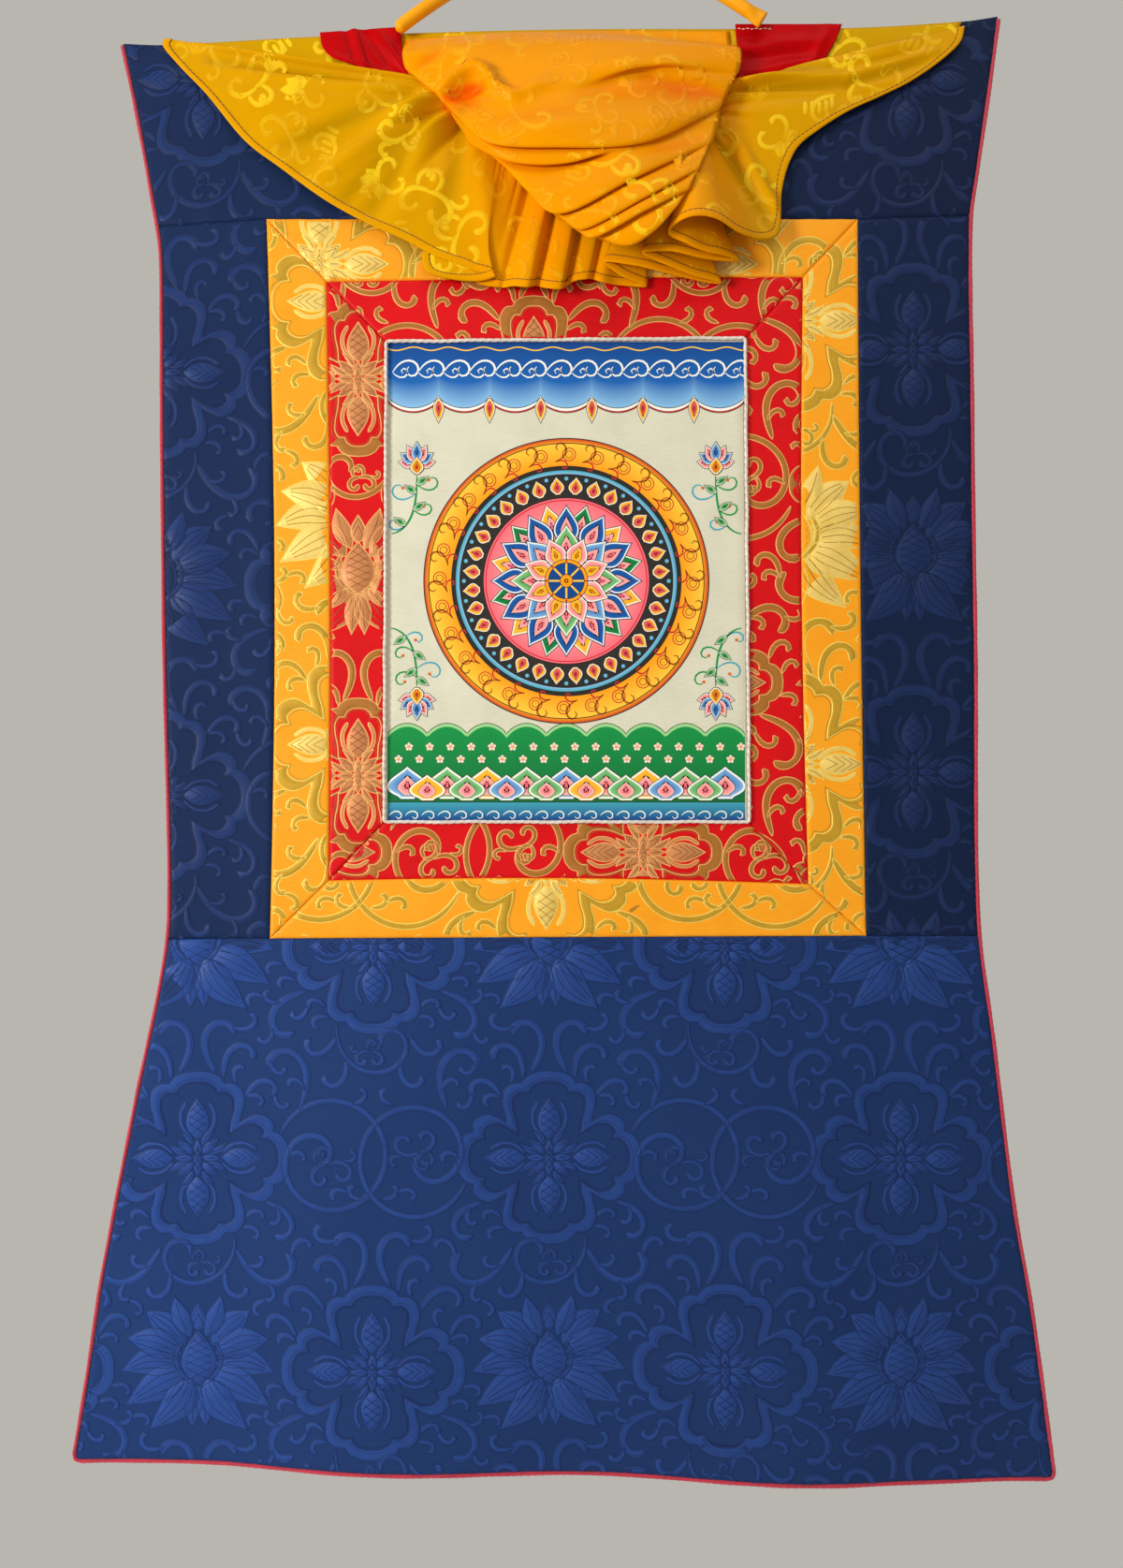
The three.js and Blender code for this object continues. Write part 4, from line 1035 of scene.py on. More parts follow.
def lay_figure(node, slot, boundaries, threads, start, size=1.0, repeat=REPEAT):
    """Brocade figure over a piece between four seams. The repeat, enlarged to a size, is copied
    from its start place all over the piece, points past a seam are moved back on to it, quads
    wholly outside are left out, and the rest lies on the cloth, into whose turned edges it dips."""
    left, right = crossing(boundaries["left"], 1), crossing(boundaries["right"], 1)
    top, low = crossing(boundaries["top"], 0), crossing(boundaries["bottom"], 0)
    rim = np.concatenate([side(np.linspace(0, 1, 21)) for side in boundaries.values()])
    points, faces, kinds = repeat
    pitch = np.array([REPEAT_WIDE, REPEAT_HIGH]) * size
    first = np.floor((rim.min(0) - start) / pitch).astype(int) - 1
    last = np.ceil((rim.max(0) - start) / pitch).astype(int) + (1, 2)
    laid = Drawing()
    for i, j in itertools.product(range(first[0], last[0]), range(first[1], last[1])):
        x, z = (points[:, :2] * size + start + pitch * (i, j)).T
        in_x = np.clip(x, left(z) + FIGURE_MARGIN, right(z) - FIGURE_MARGIN)
        in_z = np.clip(z, low(in_x) + FIGURE_MARGIN, top(in_x) - FIGURE_MARGIN)
        outside = np.abs(in_x - x) + np.abs(in_z - z) > 1e-6
        kept = ~outside[faces].all(axis=1)
        if kept.any():
            height = points[:, 2] + COPY_RISE * (1.3 * (i % 2) + 2.7 * (j % 2))
            used, quads = np.unique(faces[kept], return_inverse=True)
            laid.put(np.column_stack([in_x, in_z, height])[used], quads.reshape(-1, 4), kinds[kept])
    points, faces, kinds = laid.whole()
    x, z, height = points.T
    from_edge = np.minimum(np.minimum(x - left(z), right(z) - x), np.minimum(z - low(x), top(x) - z))
    placed = stacked(x, cloth_y(x, z) - PANEL_FRONT - height + turned_in(from_edge), z)
    # A blue piece's figure takes the same painted sheen and shade, lighter or darker from left to right.
    return mesh_object(
        f"{node}_cloth_figure", placed, faces, threads, slot, index=kinds, colour=painted_sheen_and_shade(node, placed)
    )


# ---- flat sewn pieces ----


def line_through(points):
    """Straight seams joined end to end: a function of 0 to 1 that gives each an equal share."""
    x, z = np.array(points, float).T
    even = np.linspace(0, 1, len(points))
    return lambda t: stacked(np.interp(t, even, x), np.interp(t, even, z))


def bowed_seam(p, q, bow=0.0):
    """Seam from p to q that bows to its left by half a sine."""
    side = turned_left(unit(np.subtract(q, p)))
    return lambda t: between(p, q, t[:, None]) + side * (bow * np.sin(np.pi * t))[:, None]


def coons(top, bottom, left, right, u, v):
    """Patch between four boundary curves: the two ruled surfaces, added, less the bilinear surface
    through the corners."""
    along_u, along_v = u[None, :, None], v[:, None, None]
    rows = top(u)[None] * (1 - along_v) + bottom(u)[None] * along_v
    cols = left(v)[:, None] * (1 - along_u) + right(v)[:, None] * along_u
    (tl, tr), (bl, br) = top(ENDS), bottom(ENDS)
    upper, lower = tl * (1 - along_u) + tr * along_u, bl * (1 - along_u) + br * along_u
    return rows + cols - (upper * (1 - along_v) + lower * along_v)


def cloth_steps(length, spacing):
    """Shares of a length, an even spacing apart, with three more near each end for the turned edge."""
    near, clear = np.array([0, 0.35, 0.9, 1.8]) / length, 3 / length
    inner = np.linspace(0, 1, max(int(length / spacing), 2) + 1)
    inner = inner[(inner > clear) & (inner < 1 - clear)]
    return np.concatenate([near, inner, 1 - near[::-1]])


def sewn_piece(node, slot, boundaries, material, spacing=4.8, thickness=PANEL_THICKNESS,
               figure=None, on_it=None):
    """Sheet over a Coons patch: its front lies half a thickness before cloth_y and turns back at
    its edges, and its back is even. A figure is the threads it is woven in, where its repeat starts
    and perhaps its size and which repeat it is, and on_it makes one more piece that lies on it."""
    width, height = (lengths(boundaries[side](ENDS))[-1] for side in ("top", "left"))
    u, v = cloth_steps(width, spacing), cloth_steps(height, spacing)
    x, z = np.moveaxis(coons(**boundaries, u=u, v=v), -1, 0)
    from_side, from_end = np.minimum(u, 1 - u) * width, np.minimum(v, 1 - v) * height
    dip, middle = turned_in(np.minimum(from_side, from_end[:, None])), cloth_y(x, z)
    front, back = stacked(x, middle - thickness / 2 + dip, z), stacked(x, middle + thickness / 2, z)
    points, faces = slab(front, back)
    # Blue pieces get a painted sheen and shade, lighter or darker from left to right.
    piece = mesh_object(f"{node}_cloth", points, faces, material, slot, node, colour=painted_sheen_and_shade(node, points))
    with_it = [lay_figure(node, slot, boundaries, *figure)] if figure else []
    if on_it:
        with_it.append(on_it())


def side_between(curve, inset, from_z, to_z):
    """Stretch of a side of the hanging between two heights, a little inside the outline, as a
    function of 0 to 1."""
    def stretch(t):
        z = between(from_z, to_z, t)
        return stacked(curve(z) + inset, z)

    return stretch


PANELS = {  # node: flat size, cut area, and where the figure's repeat starts
    "panel_top": ((640, 152), 80000, (-259, -38)),
    "panel_bottom": ((712, 396), 253000, (-9, -817)),
    "panel_left": ((84, 522), 38000, (-290, -250)),
    "panel_right": ((84, 520), 39500, (254, -233)),
}
HEAD_SPAN, HEM_SPAN = (-316.5, 315.5), (-350.5, 356)  # x of the cloth's corners


def make_blue_panels():
    """The four blue pieces: a top and a bottom across the whole width, and two uprights."""
    def head(t):
        x = between(*HEAD_SPAN, t)
        return stacked(x, top_z(x))

    def hem(t):
        x = between(*HEM_SPAN, t)
        return stacked(x, bottom_z(x) + EDGE_INSET)

    top_seam, low_seam = line_through(TOP_SEAM), line_through(LOW_SEAM)
    levels = [line(ENDS)[:, 1] for line in (head, top_seam, low_seam, hem)]
    left = [side_between(left_x, EDGE_INSET, a[0], b[0]) for a, b in zip(levels, levels[1:])]
    right = [side_between(right_x, -EDGE_INSET, a[1], b[1]) for a, b in zip(levels, levels[1:])]
    (top_left, top_right), (low_left, low_right) = top_seam(ENDS), low_seam(ENDS)
    tl, tr, br, bl = (YELLOW_OUTER[k] for k in ("tl", "tr", "br", "bl"))
    boundaries = {
        "panel_top": {"top": head, "bottom": top_seam, "left": left[0], "right": right[0]},
        "panel_bottom": {"top": low_seam, "bottom": hem, "left": left[2], "right": right[2]},
        "panel_left": {
            "top": bowed_seam(top_left, tl), "bottom": bowed_seam(low_left, bl),
            "left": left[1], "right": bowed_seam(tl, bl, YELLOW_BOW["left"]),
        },
        "panel_right": {
            "top": bowed_seam(tr, top_right), "bottom": bowed_seam(br, low_right),
            "left": bowed_seam(tr, br, -YELLOW_BOW["right"]), "right": right[1],
        },
    }
    for node, (flat, area, start) in PANELS.items():
        sewn_piece(node, "blue_brocade", boundaries[node], DAMASK, figure=(BLUE_THREADS, start))


FRAME_SIDES = {  # the corners each strip runs between, and which way it bows inwards
    "top": ("tl", "tr", -1), "right": ("tr", "br", -1), "bottom": ("bl", "br", 1), "left": ("tl", "bl", 1),
}


def make_frame(colour, outer, outer_bow, inner, inner_bow, material, threads, starts, size, repeat):
    """Four mitred strips between an outer and an inner ring of corners."""
    for side, (start, end, inward) in FRAME_SIDES.items():
        rings = [(outer, outer_bow), (inner, inner_bow)]
        if side in ("right", "bottom"):
            rings.reverse()
        seams = [bowed_seam(ring[start], ring[end], inward * bow[side]) for ring, bow in rings]
        mitres = [bowed_seam(rings[0][0][k], rings[1][0][k]) for k in (start, end)]
        upright = side in ("left", "right")
        names = ("left", "right", "top", "bottom") if upright else ("top", "bottom", "left", "right")
        sewn_piece(
            f"frame_{colour}_{side}", f"{colour}_brocade", dict(zip(names, (*seams, *mitres))), material,
            figure=(threads, starts[side], size, repeat),
            on_it=rubbed_mark if (colour, side) == ("yellow", "bottom") else None,
        )


MARK_AT, MARK_HALF_LENGTH, MARK_HALF_WIDTH = (52.5, -636.5), 4.6, 1.2
MARK_LEAN, MARK_FILM, MARK_SUNK = 26, 0.1, 0.01  # degrees off level, and how far out its faces lie


def rubbed_mark():
    """Small brown rub on the lower yellow strip, as a film on the cloth: as wide as sqrt(1 - s^2),
    and more at its lower left, over a midline that waves a little."""
    along, across = np.linspace(-1, 1, 17), np.linspace(1, -1, 5)[:, None]
    breadth = MARK_HALF_WIDTH * np.sqrt(1 - along**2) * (1 - 0.35 * along)
    film = stacked(MARK_HALF_LENGTH * along, across * breadth + 0.4 * np.sin(2.5 * along))
    lean = heading_of(MARK_LEAN)
    x, z = np.moveaxis(film @ [lean, turned_left(lean)] + MARK_AT, -1, 0)
    front, back = (stacked(x, cloth_y(x, z) - PANEL_FRONT - out, z) for out in (MARK_FILM, MARK_SUNK))
    return mesh_object("rubbed_mark", *slab(front, back), RUBBED_SATIN, "yellow_brocade")


def make_canvas():
    """Canvas sewn behind the red frame, as a patch between four nearly straight seams, and painted."""
    tl, tr, br, bl = (RED_INNER[k] for k in ("tl", "tr", "br", "bl"))
    boundaries = {
        "top": bowed_seam(tl, tr, -CANVAS_BOW["top"]), "bottom": bowed_seam(bl, br, CANVAS_BOW["bottom"]),
        "left": bowed_seam(tl, bl, CANVAS_BOW["left"]), "right": bowed_seam(tr, br, -CANVAS_BOW["right"]),
    }
    sewn_piece(
        "canvas", "painted_canvas", boundaries, CANVAS_GROUND, spacing=8,
        thickness=CANVAS_THICKNESS, on_it=paint_canvas,
    )


# ---- painting ----

PIGMENT = {
    name: linear(tone)
    for name, tone in {
        "white": "#f4f2e6", "ink": "#2a2622", "umber": "#3a302a", "brown": "#a85a10", "red": "#c42a22",
        "deep_blue": "#0b4288", "blue": "#1560ae", "pale_blue": "#8cc0e4", "teal": "#3f9fb2",
        "deep_green": "#0a5e30", "green": "#0f8f42", "pale_green": "#9ad08a",
        "pink": "#f86474", "pale_pink": "#ffc0b4", "orange": "#f89a0c", "gold": "#ffc83a",
    }.items()
}
PAINT_LEVEL = 0.028  # each coat of paint lies this much over the one below it
MANDALA = np.array([3.5, -400])
CANVAS_SEEN = (-125.8, 132.7, -572.8, -227.2)  # left, right, bottom and top of what shows of it
RING_EDGES = (103, 99.5, 83, 80, 77)  # radii of the mandala's rings, from the outside in
RING_LINES = ((103, 0.7), (99.5, 0.6), (83, 0.5), (77, 0.6))  # radius and width of ink lines round them
OUTLINE_WIDTH = 0.45
SPRAY_SHOOTS = ((0.15, 1, 30), (0.3, -1, 34), (0.55, 1, 26), (0.75, -1, 24))  # where, which way, length
WHEEL_PETALS = [  # count, turned, foot, tip, width, coat, tones, heart
    (12, 0.5, 28, 57, 18, 5, (("deep_green", "green"), ("orange", "gold")), ("pink", "pale_pink")),
    (12, 0.0, 25, 55, 19, 8, (("deep_blue", "blue"),), ("pink", "pale_pink")),
    (8, 0.0, 12, 41, 20, 11, (("green", "pale_green"), ("blue", "pale_blue")), ("pink", "pale_pink")),
    (8, 0.5, 11, 33, 16, 14, (("pink", "pale_pink"),), ("orange", "gold")),
]
HUB = ((15.5, "gold", "orange", 18), (13, "deep_blue", "deep_blue", 19), (4.6, "orange", "orange", 21))


class Painting:
    """Coats of paint: shapes of coloured points (x, z, coat), with triangles and quads."""

    def __init__(self):
        self.points, self.colours, self.quads, self.triangles, self.count = [], [], [], [], 0

    def put(self, points, coat, colours, quads, triangles=None):
        """Adds a shape."""
        self.points.append(np.column_stack([points, np.full(len(points), coat)]))
        self.colours.append(colours)
        self.quads.append(quads + self.count)
        if triangles is not None:
            self.triangles.append(triangles + self.count)
        self.count += len(points)

    def band(self, first, second, coat, tone, far_tone=None, rows=4):
        """Strip between two lines, blended from the tone of the first to that of the second."""
        share = np.linspace(0, 1, rows)[:, None, None]
        colours = between(PIGMENT[tone], PIGMENT[far_tone or tone], share[:, 0])
        grid = between(first, second, share).reshape(-1, 2)
        self.put(grid, coat, np.repeat(colours, len(first), axis=0), grid_faces(rows, len(first)))

    def patch(self, outline, middle, coat, tone, edge_tone=None, rings=4):
        """Shape that shows all of its outline from a middle point, blended outwards by s^1.6."""
        share = np.linspace(0, 1, rings)[1:, None, None]
        colours = between(PIGMENT[tone], PIGMENT[edge_tone or tone], share[:, 0] ** 1.6)
        count = len(outline)
        j = np.arange(count)
        self.put(
            np.concatenate([between(middle, outline, share).reshape(-1, 2), [middle]]), coat,
            np.concatenate([np.repeat(colours, count, axis=0), [PIGMENT[tone]]]),
            grid_faces(rings - 1, count, around=True), stacked(j, (j + 1) % count, count * (rings - 1)),
        )

    def disc(self, middle, radius, coat, tone, edge_tone=None, rings=4, count=96):
        """Round patch."""
        self.patch(circle(middle, radius, count)[:-1], middle, coat, tone, edge_tone, rings)

    def stroke(self, line, coat, tone, width, taper=0.0):
        """Brush stroke, drawn finer by taper towards both ends."""
        s = np.linspace(0, 1, len(line))
        half = width / 2 * (1 - taper + taper * np.sin(np.pi * s) ** 0.7)
        self.band(sides_of(line, half), sides_of(line, -half), coat, tone, rows=2)

    def petal(self, foot, tip, width, coat, tone, edge_tone, heart=None):
        """Petal with a light rim, an ink outline and perhaps a heart of two tones."""
        outline, middle = petal_outline(foot, tip, width), between(foot, tip, 0.5)
        self.patch(outline, middle, coat, tone, edge_tone)
        self.stroke(closed(between(middle, outline, 0.9)), coat + 1, "white", 0.035 * width + 0.25)
        self.stroke(closed(outline), coat + 1, "ink", OUTLINE_WIDTH)
        if heart:
            inner = petal_outline(between(foot, tip, 0.12), between(foot, tip, 0.72), width * 0.46)
            self.patch(inner, between(foot, tip, 0.42), coat + 1, *heart)
            self.stroke(closed(inner), coat + 2, "ink", 0.3)


def clock(angle):
    """Unit vector at an angle from straight up, clockwise."""
    return stacked(np.sin(angle), np.cos(angle))


def circle(middle, radius, count=96):
    """Points round a circle, the first repeated at the end."""
    return middle + radius * clock(np.linspace(0, 2 * np.pi, count + 1))


def closed(outline):
    """The outline with its first point repeated at its end."""
    return np.concatenate([outline, outline[:1]])


def petal_outline(foot, tip, width, count=14):
    """Outline of a petal from its foot round its tip: as wide as sin(pi s^0.75) (1 - 0.35 s^4)."""
    s = np.linspace(0, 1, count)
    half = width / 2 * np.sin(np.pi * np.clip(s, 0.05, 1) ** 0.75) * (1 - 0.35 * s**4)
    along = between(foot, tip, s[:, None])
    across = turned_left(unit(np.subtract(tip, foot))) * half[:, None]
    return np.concatenate([along + across, (along - across)[::-1][1:]])


def paint_wheel(art):
    """Mandala: gilt ring of scrolls, teal ring, dark ring of gold petals, and a lotus of four rows
    of petals round an eight-spoked wheel."""
    edges = [circle(MANDALA, radius) for radius in RING_EDGES]
    art.band(edges[0], edges[1], 2, "red", "orange")
    art.band(edges[1], edges[2], 2, "gold", "orange", rows=6)
    art.band(edges[2], edges[3], 2, "ink")
    art.band(edges[3], edges[4], 3, "teal", "pale_blue")
    art.disc(MANDALA, RING_EDGES[-1], 2, "umber", "ink")
    for radius, width in RING_LINES:
        art.stroke(circle(MANDALA, radius, 160), 4, "ink", width)
    for k in range(28):
        out = clock(2 * math.pi * k / 28)
        onward = -turned_left(out)
        heading = math.degrees(math.atan2(onward[1], onward[0]))
        knot, foot = MANDALA + out * 91.5 + onward * 2, MANDALA + out * 86 - onward * 8
        art.stroke(circle(knot, 4.6, 24), 3, "red", 0.7)
        art.stroke(circle(knot, 2.6, 16), 3, "brown", 0.6)
        for length, bend, curl, tone, width in ((29, 20, 290, "brown", 1.5), (19, -30, -280, "red", 1.2)):
            art.stroke(tendril(*foot, heading + 25, length, bend, curl), 3, tone, width, 0.6)
    for k in range(32):
        angle = 2 * math.pi * (k + 0.5) / 32
        foot, tip = MANDALA + clock(angle) * 62.5, MANDALA + clock(angle) * 75.5
        art.petal(foot, tip, 10.5, 3, "gold", "orange", ("red", "pink"))
        art.disc(MANDALA + clock(angle + math.pi / 32) * 74, 1.5, 3, "pale_blue", "teal", rings=2, count=12)
    art.disc(MANDALA, 60, 4, "pale_pink", "pink")
    art.stroke(circle(MANDALA, 60, 120), 5, "ink", 0.5)
    art.stroke(circle(MANDALA, 58.2, 120), 5, "red", 0.7)
    for count, turned, foot, tip, width, coat, tones, heart in WHEEL_PETALS:
        for k in range(count):
            out = clock(2 * math.pi * (k + turned) / count)
            tone = tones[k % len(tones)]
            art.petal(MANDALA + out * foot, MANDALA + out * tip, width, coat, *tone, heart)
    for radius, tone, edge_tone, coat in HUB:
        art.disc(MANDALA, radius, coat, tone, edge_tone)
        art.stroke(circle(MANDALA, radius), coat + 1, "ink", OUTLINE_WIDTH)
    for k in range(8):
        out = clock(2 * math.pi * k / 8)
        art.stroke(np.linspace(MANDALA + out * 4.6, MANDALA + out * 12.6, 5), 20, "gold", 1.3)
        art.disc(MANDALA + out * 14.3, 0.8, 20, "red", count=10)


def paint_sky(art):
    """Blue valance over the top, with a scalloped and beaded lower edge and a running scroll."""
    x0, x1, _, top = CANVAS_SEEN
    x = np.linspace(x0, x1, 211)
    scallop = np.abs(np.sin(np.pi * (x - x0) / (x1 - x0) * 7))
    upper, lower = stacked(x, top), stacked(x, top - 40 - 9 * scallop**0.6)
    middle = between(upper, lower, 0.6)
    art.band(upper, middle, 1, "deep_blue", "blue", rows=6)
    art.band(middle, lower, 1, "blue", "pale_blue", rows=6)
    edging = ((0, 2, "white", 2.2), (-1.5, 2, "red", 1.0), (1.2, 3, "ink", 0.5), (-2.3, 3, "ink", 0.4))
    for drop, coat, tone, width in edging:
        art.stroke(lower + [0, drop], coat, tone, width)
    for k in range(1, 7):
        at = np.array([x0 + (x1 - x0) * k / 7, top - 44])
        art.petal(at + [0, 3], at + [0, -15], 8, 4, "orange", "gold", ("red", "pink"))
    for k in range(14):
        foot = (x0 + (x1 - x0) * (k + 0.2) / 14, top - 22)
        for turn, length, bend, curl, width in ((60, 44, -60, -330, 1.5), (-50, 26, 60, 330, 1.2)):
            art.stroke(tendril(*foot, turn, length, bend, curl), 2, "white", width, 0.7)
    art.stroke(stacked(x, top - 5 - 1.2 * np.sin(x / 4)), 2, "gold", 0.9)


def paint_ground(art):
    """Green field along the bottom under a row of lotus petals, with a band of blue waves."""
    x0, x1, bottom, _ = CANVAS_SEEN
    x = np.linspace(x0, x1, 211)
    mounds = np.abs(np.sin(np.pi * ((x - x0) / (x1 - x0)) * 9)) ** 0.7
    low, shore, high = (stacked(x, z) for z in (bottom, bottom + 13, bottom + 62 + 8 * mounds))
    art.band(low, high, 1, "deep_green", "green", rows=9)
    art.stroke(high - [0, 1.4], 2, "pale_green", 2.2)
    art.stroke(high, 2, "ink", 0.5)
    art.band(low, shore, 2, "deep_blue", "teal")
    art.stroke(shore, 3, "ink", 0.5)
    for k in range(22):
        foot = (x0 + (x1 - x0) * (k + 0.1) / 22, bottom + 3.5)
        art.stroke(tendril(*foot, 50, 19, -60, -250), 3, "white", 0.9, 0.6)
    for k, j in itertools.product(range(17), range(2)):
        at = np.array([x0 + 8 + 15 * k + 7.5 * j, bottom + 44 + 9 * j])
        for petal in range(5):
            dot = at + 1.9 * clock(2 * math.pi * petal / 5)
            art.disc(dot, 1.1, 2, "white", "pale_pink", rings=2, count=10)
        art.disc(at, 0.8, 3, "gold", "orange", rings=2, count=8)
    tones = (("blue", "pale_blue"), ("green", "pale_green"), ("orange", "gold"), ("green", "pale_green"))
    for row, (rise, lift, size, coat) in enumerate(((15, 24, 31, 4), (14, 19, 27, 8))):
        for k in range(row, 9):
            foot = np.array([x0 + (x1 - x0) * (k + 0.5 * (1 - row)) / 9, bottom + rise])
            art.petal(foot, foot + [0, lift], size, coat, *tones[(k + row) % 4], ("pink", "pale_pink"))


def paint_sprays(art):
    """Lotus flowers on curling stems in the four corners of the cream ground."""
    middle = np.array([(CANVAS_SEEN[0] + CANVAS_SEEN[1]) / 2, MANDALA[1]])
    for side, up in itertools.product((-1, 1), (-1, 1)):
        at = middle + [side * 108, up * 84]
        stem = tendril(at[0], at[1] - up * 8, -90 * up, 50, 14 * side * up, 70 * side * up, 3)
        art.stroke(stem, 1, "green", 1.6, 0.5)
        for k, (share, spin, length) in enumerate(SPRAY_SHOOTS):
            foot = stem[int(share * (len(stem) - 1))]
            curl = tendril(*foot, -90 * up + 50 * spin, length, 30 * spin, 260 * spin)
            art.stroke(curl, 1, ("green", "teal")[k % 2], 1.3, 0.6)
            art.disc(curl[-1], 1.2, 2, "orange", "red", count=12)
            art.petal(foot, foot + [spin * 9, up * 6], 5, 3, "green", "pale_green")
        for k in range(-3, 4):
            way = clock(math.radians(k * 27)) * [1, up]
            tone = ("pink", "pale_pink") if k % 2 else ("blue", "pale_blue")
            art.petal(at + way * 2, at + way * (17 - abs(k)), 8, 5 + 3 * (3 - abs(k)), *tone)
        art.petal(at + [0, -up * 7], at + [0, up * 6], 10, 17, "orange", "gold", ("red", "orange"))


def paint_canvas():
    """Painting on the canvas: a generic decorative design in mineral colours with ink outlines."""
    art = Painting()
    for part in (paint_sprays, paint_sky, paint_ground, paint_wheel):
        part(art)
    x0, x1, bottom, top = CANVAS_SEEN
    x, z, coat = np.concatenate(art.points).T
    x, z = np.clip(x, x0, x1), np.clip(z, bottom, top)
    y = cloth_y(x, z) - CANVAS_THICKNESS / 2 - PAINT_LEVEL * (coat + 1)
    faces = [np.concatenate(art.quads), np.concatenate(art.triangles)]
    colours = np.concatenate(art.colours)
    return mesh_object("painting", stacked(x, y, z), faces, PAINT, "painted_canvas", colour=colours)


# ---- ribbons and veil ----

RIBBONS = {  # x and z of the left and right sides, and how far out, from the top down into the tie
    "left": [
        (-174, -6, -116, -2, 4), (-172, -16, -115, -12, 4), (-165, -24, -114, -23, 4),
        (-146, -31, -107, -34, 4.1), (-124, -41, -98, -44, 4.3),
    ],
    "right": [
        (125, 0, 202, 0, 4), (126, -10, 198, -10, 4), (127, -20, 192, -21, 4),
        (126, -31, 186, -30, 4), (126, -43, 182, -37, 4.1),
    ],
}
RIBBON_FOLDS = {  # line from x1, z1 to x2, z2 of a fold, its width and how far it stands out
    "left": [
        (-151, 0, -140, -34, 2.5, 2.2), (-156, -4, -148, -30, 2, -1.4), (-130, -8, -108, -40, 3, 1.8),
        (-141, -6, -118, -38, 2.4, -1.5), (-166, -22, -120, -38, 2.6, 1.4),
    ],
    "right": [
        (136, -16, 186, -12, 5, 1.6), (134, -24, 178, -19, 4, -1.7), (136, -35, 182, -26, 3.4, 1.8),
        (192, -4, 176, -34, 4, 1.4), (128, -8, 150, -14, 4, -1.2),
    ],
}
RIBBON_GATHERS = {"left": 19, "right": 9}  # radians of their gathers across each tie
RIBBON_OUT, RIBBON_SEAM_Z = 4, -3.4
RIBBON_STITCHES = np.arange(127, 150, 3.1)  # where each starts along X
RIBBON_STITCH_LENGTH, RIBBON_STITCH_RADIUS = 2, 0.3
SILK = 0.8  # thickness of the veil's and the ribbons' cloth
HEM_RISE, STITCH = 0.4, 0.28  # how far the hem's fold stands up, and half the width of a stitch
STITCH_STEP, STITCH_RUN = 0.7, 5  # of each run of steps of the hem's seam, the last is bare
VEIL_FIGURE_RISE, VEIL_FIGURE_SPREAD = 0.7, 2.6
GOLDEN_TURN = 137.5  # degrees from one motif to the next
MOTIF_START, MOTIF_PITCH, STAGGER, MOTIF_STRAY = (-292, -16), (45, -34), 22, 6
MOTIF_ROWS, MOTIFS_IN_ROW = 6, 14
# Shot silk, yellow weft over orange threads the other way. Which shows changes with the angle of light and
# view, and that is painted into the colour part by part as painted sheen.
# Then the painted shade of the pouch's and the fall's hollows, and the painted highlight of the veil's
# figure.
SHOT_WEFT, SHOT_WARP, POUCH_HOLLOW_SHADE, FALL_HOLLOW_SHADE, PAINTED_HIGHLIGHT = (
    linear(tone) for tone in ("#cd9a00", "#f09600", "#ec5e00", "#b08200", "#ffdc22")
)


def standing_out(x, z, folds):
    """How far folds stand out at each (x, z): for each line, out times exp(-(d / width)^2) at a
    distance d from it, faded over its two ends."""
    total = np.zeros(np.shape(x))
    for x1, z1, x2, z2, width, out in folds:
        along_x, along_z, size = x2 - x1, z2 - z1, math.hypot(x2 - x1, z2 - z1)
        near = np.clip(((x - x1) * along_x + (z - z1) * along_z) / size**2, 0, 1)
        apart = np.hypot(x - x1 - near * along_x, z - z1 - near * along_z)
        fade = 0.35 + 0.65 * np.sin(np.pi * np.clip(near, 0.02, 0.98)) ** 0.5
        total += out * fade * bell(apart / width)
    return total


def sheet_of(grid, thickness):
    """Closed cloth with the grid as its middle."""
    half = grid_normals(grid) * thickness / 2
    return slab(grid - half, grid + half)


def make_ribbons():
    """Two red ribbons that hang from the top edge and are drawn into the ties."""
    for side, rows in RIBBONS.items():
        table = spline(rows, 10)
        x0, z0, x1, z1, out = (table[:, [k]] for k in range(5))
        share = np.linspace(0, 1, 61)
        x, z = between(x0, x1, share), between(z0, z1, share)
        down = np.linspace(0, 1, len(table))[:, None]
        gathers = 0.7 * down**2 * np.sin(share * RIBBON_GATHERS[side] + down * 3)
        out = out + standing_out(x, z, RIBBON_FOLDS[side]) + gathers * np.sin(np.pi * share) ** 0.5
        grid = stacked(x, -out, z)
        uv = np.tile(stacked(x, z).reshape(-1, 2), (2, 1))
        points, faces = sheet_of(grid, SILK)
        ribbon = mesh_object(
            f"ribbon_{side}_cloth", points, faces, RIBBON_SATIN, "ribbon_satin", f"ribbon_{side}", uv=uv
        )
        [ribbon_stitches()] if side == "right" else []


def ribbon_stitches():
    """Row of pale running stitches beside the strap's right end, where the ribbon is tacked on."""
    def radius(along, angle):
        return RIBBON_STITCH_RADIUS

    shapes = []
    for start in RIBBON_STITCHES:
        x = np.linspace(start, start + RIBBON_STITCH_LENGTH, 5)
        z = RIBBON_SEAM_Z + 0.25 * np.sin(x)
        rise = 0.28 * np.sin(np.pi * np.linspace(0, 1, 5))
        out = RIBBON_OUT + SILK / 2 + standing_out(x, z, RIBBON_FOLDS["right"]) + rise
        shapes.append(tube(stacked(x, -out, z), radius, 6))
    return mesh_object("ribbon_stitches", *joined(shapes), EDGING_CORD, "ribbon_satin", "ribbon_right")


